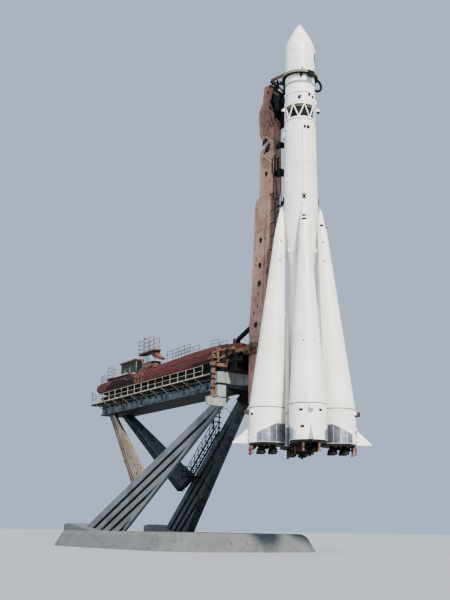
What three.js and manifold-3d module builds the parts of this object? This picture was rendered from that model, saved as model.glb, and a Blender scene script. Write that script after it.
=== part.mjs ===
// A white space rocket of four strap-on boosters round a core, held upright on its
// erector: a boom on a wagon that stands on a girder and four slanted legs.
// A model at half the real size. All sizes below are in metres of the real thing;
// K turns them into millimetres of this model.
import * as THREE from 'three';
import Module from 'manifold-3d';
import { mergeVertices } from 'three/addons/utils/BufferGeometryUtils.js';

const wasm = await Module();
wasm.setup();

const K = 500; // millimetres of model for one metre of the real thing
const GAP = 0.0008; // metres left between pieces that touch

// The sizes below are measured from the rocket's axis. The model's own origin is the
// middle of the mound's underside, MOUND_MIDDLE along X from that axis.
const MOUND_MIDDLE = -20.5;

// Levels: z = 0 is the floor, the nozzles' exits are at NOZZLE_Z
const NOZZLE_Z = 7.7;
const FACETS = 40; // sides of the big round bodies
const FLAT = Math.cos(Math.PI / FACETS); // a side's distance from the axis, for a radius of 1

// The rocket's stations, as heights above the nozzles' exits
const TIP = 38.36;
const CONE_FOOT = 35.95;
const RING_TOP = 32.95;
const STAGE_FOOT = 30.0;
const TRUSS_FOOT = 28.9;
const CORE_WIDE = 20.3;
const SEAM = 3.6;
const SKIRT_FOOT = 0.8;
const PLATE_FOOT = 0.62;

const UPPER_R = 1.3;
const CORE_TOP_R = 1.33;
const CORE_WIDE_R = 1.475;
const CORE_FOOT_R = 1.07;

// Strap-on boosters: angle in plan, then how far their axis lies from the core's
const BOOSTER_ANGLES = [62, 152, 242, 332];
const BOOSTER_OFFSET = 2.87;
const BOOSTER_LEAN = 0.0715; // metres inwards for each metre up
const BOOSTER_R = 1.46;
const BOOSTER_KINK = 18.7;
const BOOSTER_KINK_R = 0.42;
const BOOSTER_TIP = 20.8;

const group = new THREE.Group();

const PAINT = {
  white: { color: 0xe9e6dc, roughness: 0.45, metalness: 0.0 },
  soot: { color: 0x23211f, roughness: 0.7, metalness: 0.2 },
  copper: { color: 0x9a6a58, roughness: 0.5, metalness: 0.6 },
  tan: { color: 0xa07a68, roughness: 0.65, metalness: 0.1 },
  brown: { color: 0x8a6650, roughness: 0.7, metalness: 0.1 },
  black: { color: 0x2a2c30, roughness: 0.5, metalness: 0.2 },
  red: { color: 0x6b2f2a, roughness: 0.7, metalness: 0.1 },
  slate: { color: 0x5b6570, roughness: 0.7, metalness: 0.1 },
  pale: { color: 0xb9b4a6, roughness: 0.7, metalness: 0.1 },
  light: { color: 0xb8b9b8, roughness: 0.6, metalness: 0.1 },
  green: { color: 0x3f6b4c, roughness: 0.7, metalness: 0.1 },
  concrete: { color: 0x9a9a96, roughness: 0.95, metalness: 0.0 },
};

// Adds one named piece. Its geometry is in metres of the real thing.
function piece(name, paint, geometry) {
  const scaled = geometry.clone().translate(-MOUND_MIDDLE, 0, 0).scale(K, K, K);
  scaled.computeVertexNormals();
  const mesh = new THREE.Mesh(scaled, new THREE.MeshStandardMaterial(PAINT[paint]));
  mesh.name = name;
  group.add(mesh);
}

// Booleans

function solid(geometry) {
  let g = geometry.index ? geometry.toNonIndexed() : geometry.clone();
  g.deleteAttribute('normal');
  g.deleteAttribute('uv');
  g = mergeVertices(g, 1e-6);
  const mesh = new wasm.Mesh({
    numProp: 3,
    vertProperties: new Float32Array(g.attributes.position.array),
    triVerts: new Uint32Array(g.index.array),
  });
  return new wasm.Manifold(mesh);
}

function fromSolid(body) {
  const mesh = body.getMesh();
  const g = new THREE.BufferGeometry();
  g.setAttribute('position', new THREE.BufferAttribute(new Float32Array(mesh.vertProperties), 3));
  g.setIndex(new THREE.BufferAttribute(new Uint32Array(mesh.triVerts), 1));
  return g;
}

function join(...list) {
  return fromSolid(list.map(solid).reduce((a, b) => a.add(b)));
}

function cut(body, ...tools) {
  return fromSolid(tools.map(solid).reduce((a, b) => a.subtract(b), solid(body)));
}

// Simple shapes

function box(x0, x1, y0, y1, z0, z1) {
  const g = new THREE.BoxGeometry(x1 - x0, y1 - y0, z1 - z0);
  return g.translate((x0 + x1) / 2, (y0 + y1) / 2, (z0 + z1) / 2);
}

// A turned body on the Z axis from [radius, height] pairs, read upwards
function turned(profile, sides = FACETS) {
  const points = profile.map(([r, z]) => new THREE.Vector2(r, z));
  return new THREE.LatheGeometry(points, sides).rotateX(Math.PI / 2);
}

// Turned so that a flat side of the core faces each booster
function coreTurned(profile) {
  return turned(profile).rotateZ((3.5 * Math.PI) / 180);
}

function drum(radius, z0, z1, sides = FACETS) {
  return turned([[0, z0], [radius, z0], [radius, z1], [0, z1]], sides);
}

// A round bar between two points
function rod(from, to, radius, sides = 12) {
  const a = new THREE.Vector3(...from);
  const b = new THREE.Vector3(...to);
  const g = drum(radius, 0, a.distanceTo(b), sides);
  const turn = new THREE.Quaternion().setFromUnitVectors(
    new THREE.Vector3(0, 0, 1), b.clone().sub(a).normalize());
  return g.applyQuaternion(turn).translate(a.x, a.y, a.z);
}

// A square bar between two points, `wide` across Y and `deep` across the rest
function bar(from, to, wide, deep) {
  const a = new THREE.Vector3(...from);
  const b = new THREE.Vector3(...to);
  const along = b.clone().sub(a);
  const length = along.length();
  along.normalize();
  const reference = Math.abs(along.y) > 0.9 ? new THREE.Vector3(1, 0, 0) : new THREE.Vector3(0, 1, 0);
  const side = reference.clone().sub(along.clone().multiplyScalar(reference.dot(along))).normalize();
  const third = new THREE.Vector3().crossVectors(along, side);
  const frame = new THREE.Matrix4().makeBasis(along, side, third);
  const g = new THREE.BoxGeometry(length, wide, deep).translate(length / 2, 0, 0);
  return g.applyMatrix4(frame).translate(a.x, a.y, a.z);
}

// An outline of [x, z] points in the plane of the boom, as thick as y0 to y1
function sidePlate(outline, y0, y1) {
  const shape = new THREE.Shape(outline.map(([x, z]) => new THREE.Vector2(x, z)));
  const g = new THREE.ExtrudeGeometry(shape, { depth: y1 - y0, bevelEnabled: false });
  return g.rotateX(Math.PI / 2).translate(0, y1, 0);
}

// Level loops of equal point count, joined by flat strips and capped at both ends
function stacked(loops) {
  const count = loops[0].length;
  const positions = [];
  loops.forEach((loop) => loop.forEach((p) => positions.push(...p)));
  const index = [];
  for (let k = 0; k + 1 < loops.length; k += 1) {
    for (let i = 0; i < count; i += 1) {
      const a = k * count + i;
      const b = k * count + ((i + 1) % count);
      index.push(a, b, b + count, a, b + count, a + count);
    }
  }
  const top = (loops.length - 1) * count;
  for (let i = 1; i + 1 < count; i += 1) {
    index.push(0, i + 1, i);
    index.push(top, top + i, top + i + 1);
  }
  const g = new THREE.BufferGeometry();
  g.setAttribute('position', new THREE.Float32BufferAttribute(positions, 3));
  g.setIndex(index);
  return g;
}

// Rocket: nose, third stage and the open truss under it

const up = (s) => s + NOZZLE_Z;

piece('payload_fairing', 'white', turned([
  [0, up(RING_TOP + GAP)],
  [UPPER_R, up(RING_TOP + GAP)],
  [UPPER_R, up(CONE_FOOT)],
  [1.17, up(CONE_FOOT + 0.35)],
  [0.93, up(CONE_FOOT + 0.9)],
  [0.6, up(CONE_FOOT + 1.55)],
  [0.3, up(CONE_FOOT + 2.05)],
  [0.13, up(TIP - 0.1)],
  [0, up(TIP)],
]));

piece('third_stage', 'white', turned([
  [0, up(STAGE_FOOT)],
  [CORE_TOP_R, up(STAGE_FOOT)],
  [CORE_TOP_R, up(31.2)],
  [CORE_TOP_R - 0.03, up(31.25)],
  [CORE_TOP_R - 0.03, up(RING_TOP)],
  [0, up(RING_TOP)],
]));

const TRUSS_RINGS = [
  { foot: STAGE_FOOT - 0.17, top: STAGE_FOOT - GAP },
  { foot: TRUSS_FOOT + GAP, top: TRUSS_FOOT + 0.15 },
];
const STRUTS = 16;
const TRUSS_TURN = (25 * Math.PI) / 180;
const trussRings = TRUSS_RINGS.map(({ foot, top }) => turned([
  [CORE_TOP_R - 0.14, up(foot)],
  [CORE_TOP_R, up(foot)],
  [CORE_TOP_R, up(top)],
  [CORE_TOP_R - 0.14, up(top)],
  [CORE_TOP_R - 0.14, up(foot)],
]));
const trussStruts = [];
for (let i = 0; i < STRUTS; i += 1) {
  const node = (k) => {
    const angle = TRUSS_TURN + (k * 2 * Math.PI) / STRUTS;
    const high = k % 2 === 0;
    const r = CORE_TOP_R - 0.075;
    const s = high ? STAGE_FOOT - 0.08 : TRUSS_FOOT + 0.08;
    return [r * Math.cos(angle), r * Math.sin(angle), up(s)];
  };
  trussStruts.push(rod(node(i), node(i + 1), 0.05, 6));
}
piece('interstage_truss', 'white', join(...trussRings, ...trussStruts));
piece('third_stage_engine', 'soot', drum(1.08, up(TRUSS_FOOT + GAP), up(STAGE_FOOT - GAP), 24));

// Rocket: core

piece('core_stage', 'white', coreTurned([
  [0, up(SEAM + GAP)],
  [CORE_FOOT_R, up(SEAM + GAP)],
  [CORE_FOOT_R, up(15.5)],
  [CORE_TOP_R, up(18.7)],
  [CORE_WIDE_R, up(CORE_WIDE)],
  [CORE_TOP_R + 0.01, up(TRUSS_FOOT - 0.6)],
  [CORE_TOP_R, up(TRUSS_FOOT)],
  [0, up(TRUSS_FOOT)],
]));
piece('core_tail', 'white', coreTurned([
  [0, up(SKIRT_FOOT + GAP)],
  [CORE_FOOT_R, up(SKIRT_FOOT + GAP)],
  [CORE_FOOT_R, up(SEAM)],
  [0, up(SEAM)],
]));

// Rocket: engines. A bell hangs from the plate, mouth down.

const BELL_R = 0.35;
const BELL_TOP = 0.68;
function bell(x, y) {
  const g = turned([
    [0, up(BELL_TOP)],
    [0.17, up(BELL_TOP)],
    [0.2, up(0.5)],
    [0.31, up(0.2)],
    [BELL_R, up(0)],
    [BELL_R - 0.03, up(0)],
    [0.26, up(0.22)],
    [0, up(0.45)],
  ].reverse(), 14);
  return g.translate(x, y, 0);
}

// Swivelling chamber: pivot height, reach of its mouth below it, shaft and bell radii
const SWIVEL = { pivot: 0.42, reach: 0.5, crown: 0.12, mouth: 0.14, throat: 0.06, shaft: 0.055, seat: 0.2 };

// A small bell under a level shaft that points back to the stage's axis (local -X).
// `x` is how far out it hangs, `y` sideways.
function swivelBell(x, y) {
  const top = SWIVEL.pivot + SWIVEL.crown;
  const foot = SWIVEL.pivot - SWIVEL.reach;
  const cup = turned([
    [0, up(foot + 0.16)],
    [SWIVEL.mouth - 0.025, up(foot)],
    [SWIVEL.mouth, up(foot)],
    [SWIVEL.throat, up(foot + 0.26)],
    [0.1, up(foot + 0.33)],
    [0.1, up(top)],
    [0, up(top)],
  ], 12).translate(x, y, 0);
  const shaft = rod([x - SWIVEL.seat, y, up(SWIVEL.pivot)], [x, y, up(SWIVEL.pivot)], SWIVEL.shaft, 10);
  return join(cup, shaft);
}

// The block that the shaft turns in, hung from the plate above
function swivelBlock(x, y) {
  const end = x - SWIVEL.seat - GAP;
  return box(end - 0.14, end, y - 0.1, y + 0.1, up(SWIVEL.pivot - 0.1), up(PLATE_FOOT + 0.05));
}

const radians = (degrees) => (degrees * Math.PI) / 180;

// Core engine: four bells towards the boosters, four swivelling chambers between them
const CORE_BELL_AT = 0.56;
const CORE_SWIVEL_AT = 0.98;
const coreEngine = [drum(CORE_FOOT_R - 0.02, up(PLATE_FOOT), up(SKIRT_FOOT), 32)];
for (const angle of BOOSTER_ANGLES) {
  coreEngine.push(bell(CORE_BELL_AT, 0).rotateZ(radians(angle)));
  coreEngine.push(swivelBlock(CORE_SWIVEL_AT, 0).rotateZ(radians(angle + 45)));
}
piece('core_engine', 'soot', join(...coreEngine));
BOOSTER_ANGLES.forEach((angle, i) => {
  piece(`core_steering_chamber_${i + 1}`, 'copper',
    swivelBell(CORE_SWIVEL_AT, 0).rotateZ(radians(angle + 45)));
});

// Rocket: strap-on boosters, each made with its outward side on +X, then turned

const SWIVEL_OUT = 1.3;
const SWIVEL_SIDE = 0.61;
const BELL_SIDE = 0.47;
const FIN = { root: 0.1, tip: 1.28, foot: 0.78, rise: 1.15, thick: 0.11, tipRise: 0.1, shaft: 0.07, shaftAt: 1.2 };

// Level circles whose centres move inwards as they rise
function leaning(profile) {
  const g = turned(profile);
  const p = g.attributes.position;
  for (let i = 0; i < p.count; i += 1) {
    p.setX(i, p.getX(i) - BOOSTER_LEAN * (p.getZ(i) - up(SEAM)));
  }
  return g;
}

BOOSTER_ANGLES.forEach((angle, i) => {
  const n = i + 1;
  const place = (g) => g.translate(BOOSTER_OFFSET, 0, 0).rotateZ(radians(angle));

  piece(`booster_${n}_tanks`, 'white', place(leaning([
    [0, up(SEAM + GAP)],
    [BOOSTER_R, up(SEAM + GAP)],
    [BOOSTER_R - 0.045, up(SEAM + 0.5)],
    [BOOSTER_KINK_R, up(BOOSTER_KINK)],
    [0.3, up(BOOSTER_KINK + 0.9)],
    [0.14, up(BOOSTER_TIP - 0.25)],
    [0, up(BOOSTER_TIP)],
  ])));

  const boss = rod([BOOSTER_R - 0.1, 0, up(FIN.shaftAt)], [BOOSTER_R + FIN.root - 0.04, 0, up(FIN.shaftAt)],
    FIN.shaft + 0.05, 14);
  const fitting = box(BOOSTER_R - 0.1, BOOSTER_R + 0.35, -0.16, 0.16, up(3.1), up(3.42));
  const tieEnd = BOOSTER_OFFSET - CORE_FOOT_R * FLAT - GAP;
  const tie = box(-tieEnd, -BOOSTER_R + 0.1, -0.09, 0.09, up(3.1), up(3.35));
  piece(`booster_${n}_tail`, 'white', place(join(
    drum(BOOSTER_R, up(SKIRT_FOOT + GAP), up(SEAM)), boss, fitting, tie)));

  const engine = [drum(BOOSTER_R - 0.03, up(PLATE_FOOT), up(SKIRT_FOOT), 32)];
  for (const x of [-BELL_SIDE, BELL_SIDE]) {
    for (const y of [-BELL_SIDE, BELL_SIDE]) {
      engine.push(bell(x, y));
    }
  }
  for (const y of [-SWIVEL_SIDE, SWIVEL_SIDE]) {
    engine.push(swivelBlock(SWIVEL_OUT, y));
  }
  piece(`booster_${n}_engine`, 'soot', place(join(...engine)));

  [-SWIVEL_SIDE, SWIVEL_SIDE].forEach((y, k) => {
    piece(`booster_${n}_steering_chamber_${k + 1}`, 'copper', place(swivelBell(SWIVEL_OUT, y)));
  });

  // Air rudder: a thin triangle on a round shaft
  const finRoot = BOOSTER_R + FIN.root;
  const finShape = sidePlate([
    [finRoot, up(FIN.foot)],
    [BOOSTER_R + FIN.tip, up(FIN.foot)],
    [BOOSTER_R + FIN.tip, up(FIN.foot + FIN.tipRise)],
    [finRoot, up(FIN.foot + FIN.rise)],
  ], -FIN.thick / 2, FIN.thick / 2);
  const finShaft = rod([finRoot - 0.04 + GAP, 0, up(FIN.shaftAt)], [finRoot + 0.25, 0, up(FIN.shaftAt)],
    FIN.shaft, 12);
  piece(`booster_${n}_air_rudder`, 'white', place(join(finShape, finShaft)));
});

// Erector boom: a closed beam below, a folding joint near z = 36, and above it a head
// of two side plates and a back plate that is open towards the rocket

const BOOM_HALF = { low: 0.58, high: 0.42 };
const BOOM_SKIN = 0.1;
const BOOM_JOINT_Z = 31.0;
const BOOM_LOW = [[-7.02, 12.4], [-5.5, 12.4], [-5.25, 14.5], [-4.5, 20.0], [-3.95, 30.4], [-3.95, BOOM_JOINT_Z],
  [-5.75, BOOM_JOINT_Z], [-6.15, 30.3], [-6.36, 26.3], [-6.6, 22.6], [-6.8, 20.0], [-6.98, 18.1]];
const BOOM_HIGH = [[-5.7, BOOM_JOINT_Z + GAP], [-3.5, BOOM_JOINT_Z + GAP], [-3.5, 35.949], [-4.66, 36.799],
  [-5.0, 36.1], [-5.15, 35.85], [-5.6, 35.6], [-5.62, 33.2]];
const BOOM_HEAD = [[-5.5, 36.87], [-4.66, 36.8], [-3.5, 35.95], [-3.45, 37.2], [-3.45, 38.67], [-4.2, 39.45],
  [-3.75, 40.9], [-3.96, 41.55], [-4.69, 41.9], [-4.94, 41.78], [-5.08, 41.0], [-5.24, 40.3], [-5.77, 39.67],
  [-5.86, 38.9], [-5.7, 38.0], [-5.65, 37.2]];
const HEAD_HOLLOW = [[-4.55, 43], [-4.65, 41.6], [-4.8, 41.0], [-4.95, 40.2], [-5.45, 39.55], [-5.55, 38.9],
  [-5.4, 38.0], [-5.35, 37.2], [-5.2, 36.5], [-5.2, 35], [2, 35], [2, 43]];
const LOW_HOLES = [[-5.92, 19.3, 0.28], [-5.4, 22.95, 0.28], [-5.34, 24.6, 0.28], [-5.24, 26.9, 0.28]];
const HIGH_HOLES = [[-4.6, 33.1, 0.27]];

// Round blind holes in both sides of a beam
const blind = (holes, half) => holes.flatMap(([x, z, r]) => [-1, 1].map((side) =>
  rod([x, side * (half - 0.3), z], [x, side * (half + 0.2), z], r, 16)));
// Cross bars that close the open side here and there
const rungs = (list, half) => list.map(([x, z]) => bar([x, -half + 0.02, z], [x, half - 0.02, z], 0.16, 0.16));

piece('boom_lower', 'tan', join(
  cut(sidePlate(BOOM_LOW, -BOOM_HALF.low, BOOM_HALF.low), ...blind(LOW_HOLES, BOOM_HALF.low)),
  box(-7.45, -6.7, -0.29, -0.17, 19.28, 19.8), box(-7.45, -6.7, 0.17, 0.29, 19.28, 19.8)));
// Bumpers on the front that face the rocket
const bumper = (z, half) => [box(-3.6, -2.85, -0.12, 0.12, z - half, z + half),
  box(-2.95, -2.75, -0.25, 0.25, z - half - 0.1, z + half + 0.1)];
piece('boom_upper', 'tan', join(cut(
  sidePlate(BOOM_HIGH, -BOOM_HALF.high, BOOM_HALF.high), ...blind(HIGH_HOLES, BOOM_HALF.high),
  box(-4.5, -3.2, -0.34, 0.34, 33.1, 34.5)), ...bumper(35.4, 0.12), box(-4.6, -3.6, -0.05, 0.05, 33.0, 34.6),
...bumper(32.75, 0.2)));
piece('boom_head', 'tan', join(cut(
  sidePlate(BOOM_HEAD, -BOOM_HALF.high, BOOM_HALF.high),
  sidePlate(HEAD_HOLLOW, -BOOM_HALF.high + BOOM_SKIN, BOOM_HALF.high - BOOM_SKIN),
  rod([-4.05, -1, 41.62], [-4.05, 1, 41.62], 0.12 + GAP, 12),
  rod([-4.36, -1, 41.1], [-4.36, -0.2, 41.1], 0.2, 16), rod([-4.36, 0.2, 41.1], [-4.36, 1, 41.1], 0.2, 16)),
  ...rungs([[-3.75, 36.6], [-3.75, 38.4], [-4.4, 39.3], [-4.1, 40.6]], BOOM_HALF.high),
  box(-3.5, -2.95, 0.34, 0.41, 37.3, 39.9)));

// Clamp: two arms from the boom's head that close round the rocket
const CLAMP_Z = up(32.86);
const CLAMP_TOP = CLAMP_Z + 0.24;
const CLAMP_MID = CLAMP_Z + 0.12;
const clampBand = cut(
  drum(1.56, CLAMP_Z, CLAMP_TOP),
  drum(UPPER_R + GAP, CLAMP_Z - 1, CLAMP_Z + 1),
  box(0.6, 3, -0.22, 0.22, CLAMP_Z - 1, CLAMP_Z + 1));
const clampArms = [-1, 1].map((side) => bar([-0.1, side * 1.45, CLAMP_MID + 0.1], [-3.6, side * 0.56, 41.95], 0.2, 0.22));
const clampYoke = rod([-3.6, -0.6, 41.9], [-3.6, 0.6, 41.9], 0.1, 12);
const clampFoot = rod([-4.05, -0.5, 41.62], [-4.05, 0.5, 41.62], 0.12, 12);
const clampHangers = [-1, 1].map((side) => bar([-3.55, side * 0.3, 41.93], [-4.1, side * 0.3, 41.59], 0.12, 0.14));
// A hook on the far side of the ring, and the latch that closes its front
const HOOK = { y: 1.83, z: CLAMP_Z, radius: 0.54, tube: 0.1 };
const clampHook = [
  cut(new THREE.TorusGeometry(HOOK.radius, HOOK.tube, 8, 20).rotateY(Math.PI / 2)
    .translate(0, HOOK.y, HOOK.z), drum(1.4, CLAMP_Z - 2, CLAMP_Z + 2)),
  box(-0.12, 0.12, 1.5, 1.6, CLAMP_Z - 0.42, CLAMP_TOP + 0.21),
];
const clampLatch = box(1.46, 1.7, -0.27, 0.27, CLAMP_Z - 0.3, CLAMP_TOP - 0.06);
piece('clamp_arms', 'brown', join(clampBand, clampLatch, ...clampArms, clampYoke, clampFoot, ...clampHangers,
  ...clampHook));

// Levels of the stand
const MOUND_TOP = 1.5;
const LEG_HEAD = 13.6;
const GIRDER_FOOT = 14.06;
const GIRDER_TOP = 15.2;
const WALKWAY_TOP = 15.35;
const ROOF = 18.15;

const sided = (side, a, b) => (side < 0 ? [-b, -a] : [a, b]);

// Concrete mound: level rounded rectangles of half length and half width, and two
// thrust blocks behind the feet of the long legs
const MOUND_LEVELS = [
  { z: 0, x: 15.2, y: 8.6 },
  { z: 1.2, x: 14.5, y: 8.0 },
  { z: MOUND_TOP, x: 14.0, y: 7.6 },
];
const MOUND_POINTS = 32;
const rounded = (v) => Math.sign(v) * Math.abs(v) ** 0.5;
const mound = stacked(MOUND_LEVELS.map(({ z, x, y }) => {
  const loop = [];
  for (let i = 0; i < MOUND_POINTS; i += 1) {
    const angle = (i * 2 * Math.PI) / MOUND_POINTS;
    loop.push([MOUND_MIDDLE + x * rounded(Math.cos(angle)), y * rounded(Math.sin(angle)), z]);
  }
  return loop;
}));
const BLOCK_LINE = [[-34.4, 0], [-27.2, 0], [-27.2, 1.5], [-33.3, 2.25], [-34.4, 2.1]];
const thrustBlocks = (lift, spare) => [-1, 1].map((side) => sidePlate(
  BLOCK_LINE.map(([x, z]) => [x, z === 0 ? 0 : z + lift]), ...sided(side, 3.7 - spare, 5.8 + spare)));
piece('concrete_mound', 'concrete', join(mound, ...thrustBlocks(0, 0)));

// Legs: flat tapering planks with ribs along one edge.
// `edge` is the ribbed edge and `other` the other one, each from foot to head, at y > 0.
const LEG_CORE = 0.2;
const LEG_THICK = 0.66;
const LEG_SLANT = 0.35;

function leg(edge, other, ribs) {
  const [foot, head] = edge.map((p) => new THREE.Vector3(...p));
  const along = head.clone().sub(foot).normalize();
  const across = new THREE.Vector3(...other[0]).sub(foot);
  const normal = new THREE.Vector3().crossVectors(along, across).normalize();
  const side = new THREE.Vector3().crossVectors(normal, along);
  const flat = (p) => {
    const d = new THREE.Vector3(...p).sub(foot);
    return new THREE.Vector2(d.dot(along), d.dot(side));
  };
  const outline = [flat(edge[0]), flat(edge[1]), flat(other[1]), flat(other[0])];
  const plank = (points, thick) => new THREE.ExtrudeGeometry(new THREE.Shape(points),
    { depth: thick, bevelEnabled: false }).translate(0, 0, -thick / 2);
  const long = foot.distanceTo(head) + 4;
  // The inside of the lower edge is cut off by a slanted plane
  const low = outline[3].clone();
  const high = outline[2].clone().sub(low);
  const slant = solid(new THREE.ExtrudeGeometry(new THREE.Shape([[1, LEG_THICK / 2], [0, LEG_THICK / 2],
    [-LEG_SLANT, -LEG_THICK / 2], [-LEG_SLANT, -1], [1, -1]].map((p) => new THREE.Vector2(...p))),
  { depth: long + 8, bevelEnabled: false }).translate(0, 0, -4).applyMatrix4(new THREE.Matrix4()
    .makeBasis(new THREE.Vector3(-high.y, high.x, 0).normalize(), new THREE.Vector3(0, 0, 1),
      new THREE.Vector3(high.x, high.y, 0).normalize()).setPosition(low.x, low.y, 0)));
  const core = solid(plank(outline, LEG_CORE)).subtract(slant);
  const whole = solid(plank(outline, LEG_THICK)).subtract(slant);
  // Inside, the lower edge is a smooth strip
  const strip = solid(box(-4, long, -1.5 * LEG_SLANT, 4, -LEG_THICK, 0).applyMatrix4(
    new THREE.Matrix4().makeRotationZ(Math.atan2(high.y, high.x)).setPosition(low.x, low.y, 0)));
  let body = core.add(strip.intersect(whole));
  for (const [start, end] of ribs) {
    const rib = box(-4, long, start, end, -LEG_THICK, LEG_THICK);
    body = body.add(solid(rib).intersect(whole));
  }
  const frame = new THREE.Matrix4().makeBasis(along, side, normal).setPosition(foot);
  return { body: fromSolid(body).applyMatrix4(frame), frame, long };
}

const RIGHT_EDGES = {
  edge: [[-32.78, 5.1, 0.5], [-10.78, 1.09, 13.3]],
  other: [[-24.9, 3.86, 0.5], [-9.2, 0.9, 13.3]],
};
const LEFT_EDGES = {
  edge: [[-21.2, 3.06, 3.0], [-35.3, 0.63, 14.8]],
  other: [[-15.6, 3.5, 3.0], [-34.15, 0.84, 14.8]],
};
const RIB = { pitch: 0.84, groove: 0.32, count: 5 };
const rightRibs = [];
for (let k = 0; k < RIB.count; k += 1) {
  rightRibs.push([k === 0 ? 0 : k * RIB.pitch + RIB.groove / 2, (k + 1) * RIB.pitch - RIB.groove / 2]);
}
const right = leg(RIGHT_EDGES.edge, RIGHT_EDGES.other, rightRibs);
const left = leg(LEFT_EDGES.edge, LEFT_EDGES.other, [[0, 0.14], [0.32, 0.46], [0.64, 7]]);

// The left legs end where they meet the right legs' upper edge
const beyond = box(-5, right.long, -GAP, 30, -10, 10).applyMatrix4(right.frame);
const PORTAL = { front: -9.4, back: -9.9, half: 2.2 };
const bodies = {
  right: cut(right.body, box(-60, 10, -20, 20, -5, MOUND_TOP + GAP), ...thrustBlocks(0.001, 0.3),
    box(-60, 10, -20, 20, LEG_HEAD - GAP, LEG_HEAD + 9), box(PORTAL.back - GAP, 10, -20, 20, 0, 20)),
  left: cut(left.body, beyond, box(-60, 10, -20, 20, GIRDER_FOOT - GAP, GIRDER_FOOT + 9)),
};
for (const [name, far] of Object.entries(bodies)) {
  piece(`leg_${name}_far`, 'slate', far);
  piece(`leg_${name}_near`, 'slate', fromSolid(solid(far).mirror([0, 1, 0])));
}

// Portal: an arched plate with a block behind it over the head of each right-hand leg
const arch = rod([-14, 0, 11.9], [-8, 0, 11.9], 1.75, 40);
piece('portal', 'slate', join(
  cut(box(PORTAL.back, PORTAL.front - GAP, -PORTAL.half, PORTAL.half, 12.5, GIRDER_FOOT - GAP), arch),
  ...[-1, 1].map((side) => box(-10.5, PORTAL.back + 0.05, ...sided(side, 0.8, 1.7), LEG_HEAD, GIRDER_FOOT - GAP))));

// Crosshead: a beam in front of the portal on two posts and two bearing blocks
const CROSSHEAD_FRONT = -9.0;
const crossheadSide = [-1, 1].flatMap((side) => [
  box(PORTAL.front, CROSSHEAD_FRONT, ...sided(side, 1.63, 3.5), 12.35, 13.1),
  box(PORTAL.front, CROSSHEAD_FRONT, ...sided(side, 1.64, 2.5), 13.05, 14.45),
]);
piece('crosshead', 'light', join(box(PORTAL.front, CROSSHEAD_FRONT, -2.55, 2.55, 14.4, 15.4), ...crossheadSide));

// Girder and walkway
piece('girder', 'slate', join(
  box(-35.5, -9.7, -1.5, 1.5, GIRDER_FOOT, GIRDER_TOP),
  box(-35.6, -9.7, -1.7, 1.7, GIRDER_TOP - 0.14, GIRDER_TOP),
  box(-35.6, -9.7, -1.65, 1.65, GIRDER_FOOT, GIRDER_FOOT + 0.14)));
piece('walkway', 'pale', box(-36.4, -10.4, -2.5, 2.5, GIRDER_TOP + GAP, WALKWAY_TOP));

// Wagon hull: rounded cross sections along X on saddles, with a lower end towards the boom.
// Each row has the place along X, the share of the full width, and the heights of keel and roof.
const HULL = [
  [-38.1, 0.66, 17.1, 18.0], [-37.6, 0.86, 16.9, 18.1], [-36.6, 1, 16.6, ROOF], [-34.0, 1, 16.35, ROOF],
  [-28.4, 1, 16.3, ROOF], [-24.8, 1, 16.3, 18.33], [-21.5, 1, 16.3, 18.42], [-16.5, 1, 16.3, 18.57],
  [-13.0, 1, 16.3, 18.55], [-11.0, 1, 16.3, 18.4],
];
const HULL_WIDE = 1.6;
const HULL_SECTION = [[0.8, 0], [1, 0.17], [1, 0.45], [0.93, 0.65], [0.76, 0.82], [0.54, 0.93], [0.3, 1]];
const hullLoops = HULL.map(([x, wide, low, top]) => {
  const half = HULL_SECTION.map(([y, t]) => [y * HULL_WIDE * wide, low + t * (top - low)]);
  return [...half, ...half.map(([y, z]) => [-y, z]).reverse()].map(([y, z]) => [x, y, z]);
});
const HULL_END = [[-11.4, 17.35], [-7.7, 17.35], [-7.7, 17.92], [-9.6, 18.12], [-11.4, 18.35]];
const SADDLES = [-35, -31, -27, -23, -19, -15, -12];
const saddles = SADDLES.map((x) => box(x - 0.25, x + 0.25, -1.2, 1.2, WALKWAY_TOP + GAP, 16.7));
const RAM_EYES = { hull: [-9.9, 18.57], boom: [-7.28, 19.54] };
const ramLugs = ([x, z], x0, x1, z0, z1) => [-0.29, 0.17].map((y) => box(x + x0, x + x1, y, y + 0.12, z + z0, z + z1));
piece('wagon_hull', 'red', join(stacked(hullLoops), sidePlate(HULL_END, -1.05, 1.05), ...saddles,
  ...ramLugs(RAM_EYES.hull, -0.2, 0.2, -0.6, 0.2)));

// Cabin on its own deck, and the raised service deck with a sloping step
const DECK = 18.44;
piece('cabin_deck', 'pale', join(
  box(-36.2, -30.4, -0.8, 1.3, DECK - 0.12, DECK), box(-35.8, -30.7, -0.4, 0.44, ROOF + GAP, DECK - 0.06)));
piece('cabin', 'green', join(
  box(-34.3, -30.6, 0.1, 0.85, DECK + GAP, 19.95),
  box(-34.45, -30.45, -0.05, 1.0, 19.9, 20.04)));
const DECK_POSTS = [[-27.3, -0.35], [-27.3, 0], [-25.6, -0.35], [-25.6, 0]];
const DECK_BASE = [[-27.9, ROOF + 0.026], [-25.1, ROOF + 0.166], [-25.1, 18.75], [-27.9, 18.8]];
piece('service_deck', 'tan', join(
  sidePlate(DECK_BASE, -0.48, 0.48),
  ...DECK_POSTS.map(([x, y]) => box(x - 0.06, x + 0.06, y - 0.06, y + 0.06, 18.6, 20.12)),
  box(-28.6, -24.8, -0.65, 0.1, 20.08, 20.2),
  bar([-26.3, 0.2, 19.8], [-24.8, 0.2, 19.15], 0.55, 0.1)));

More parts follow.
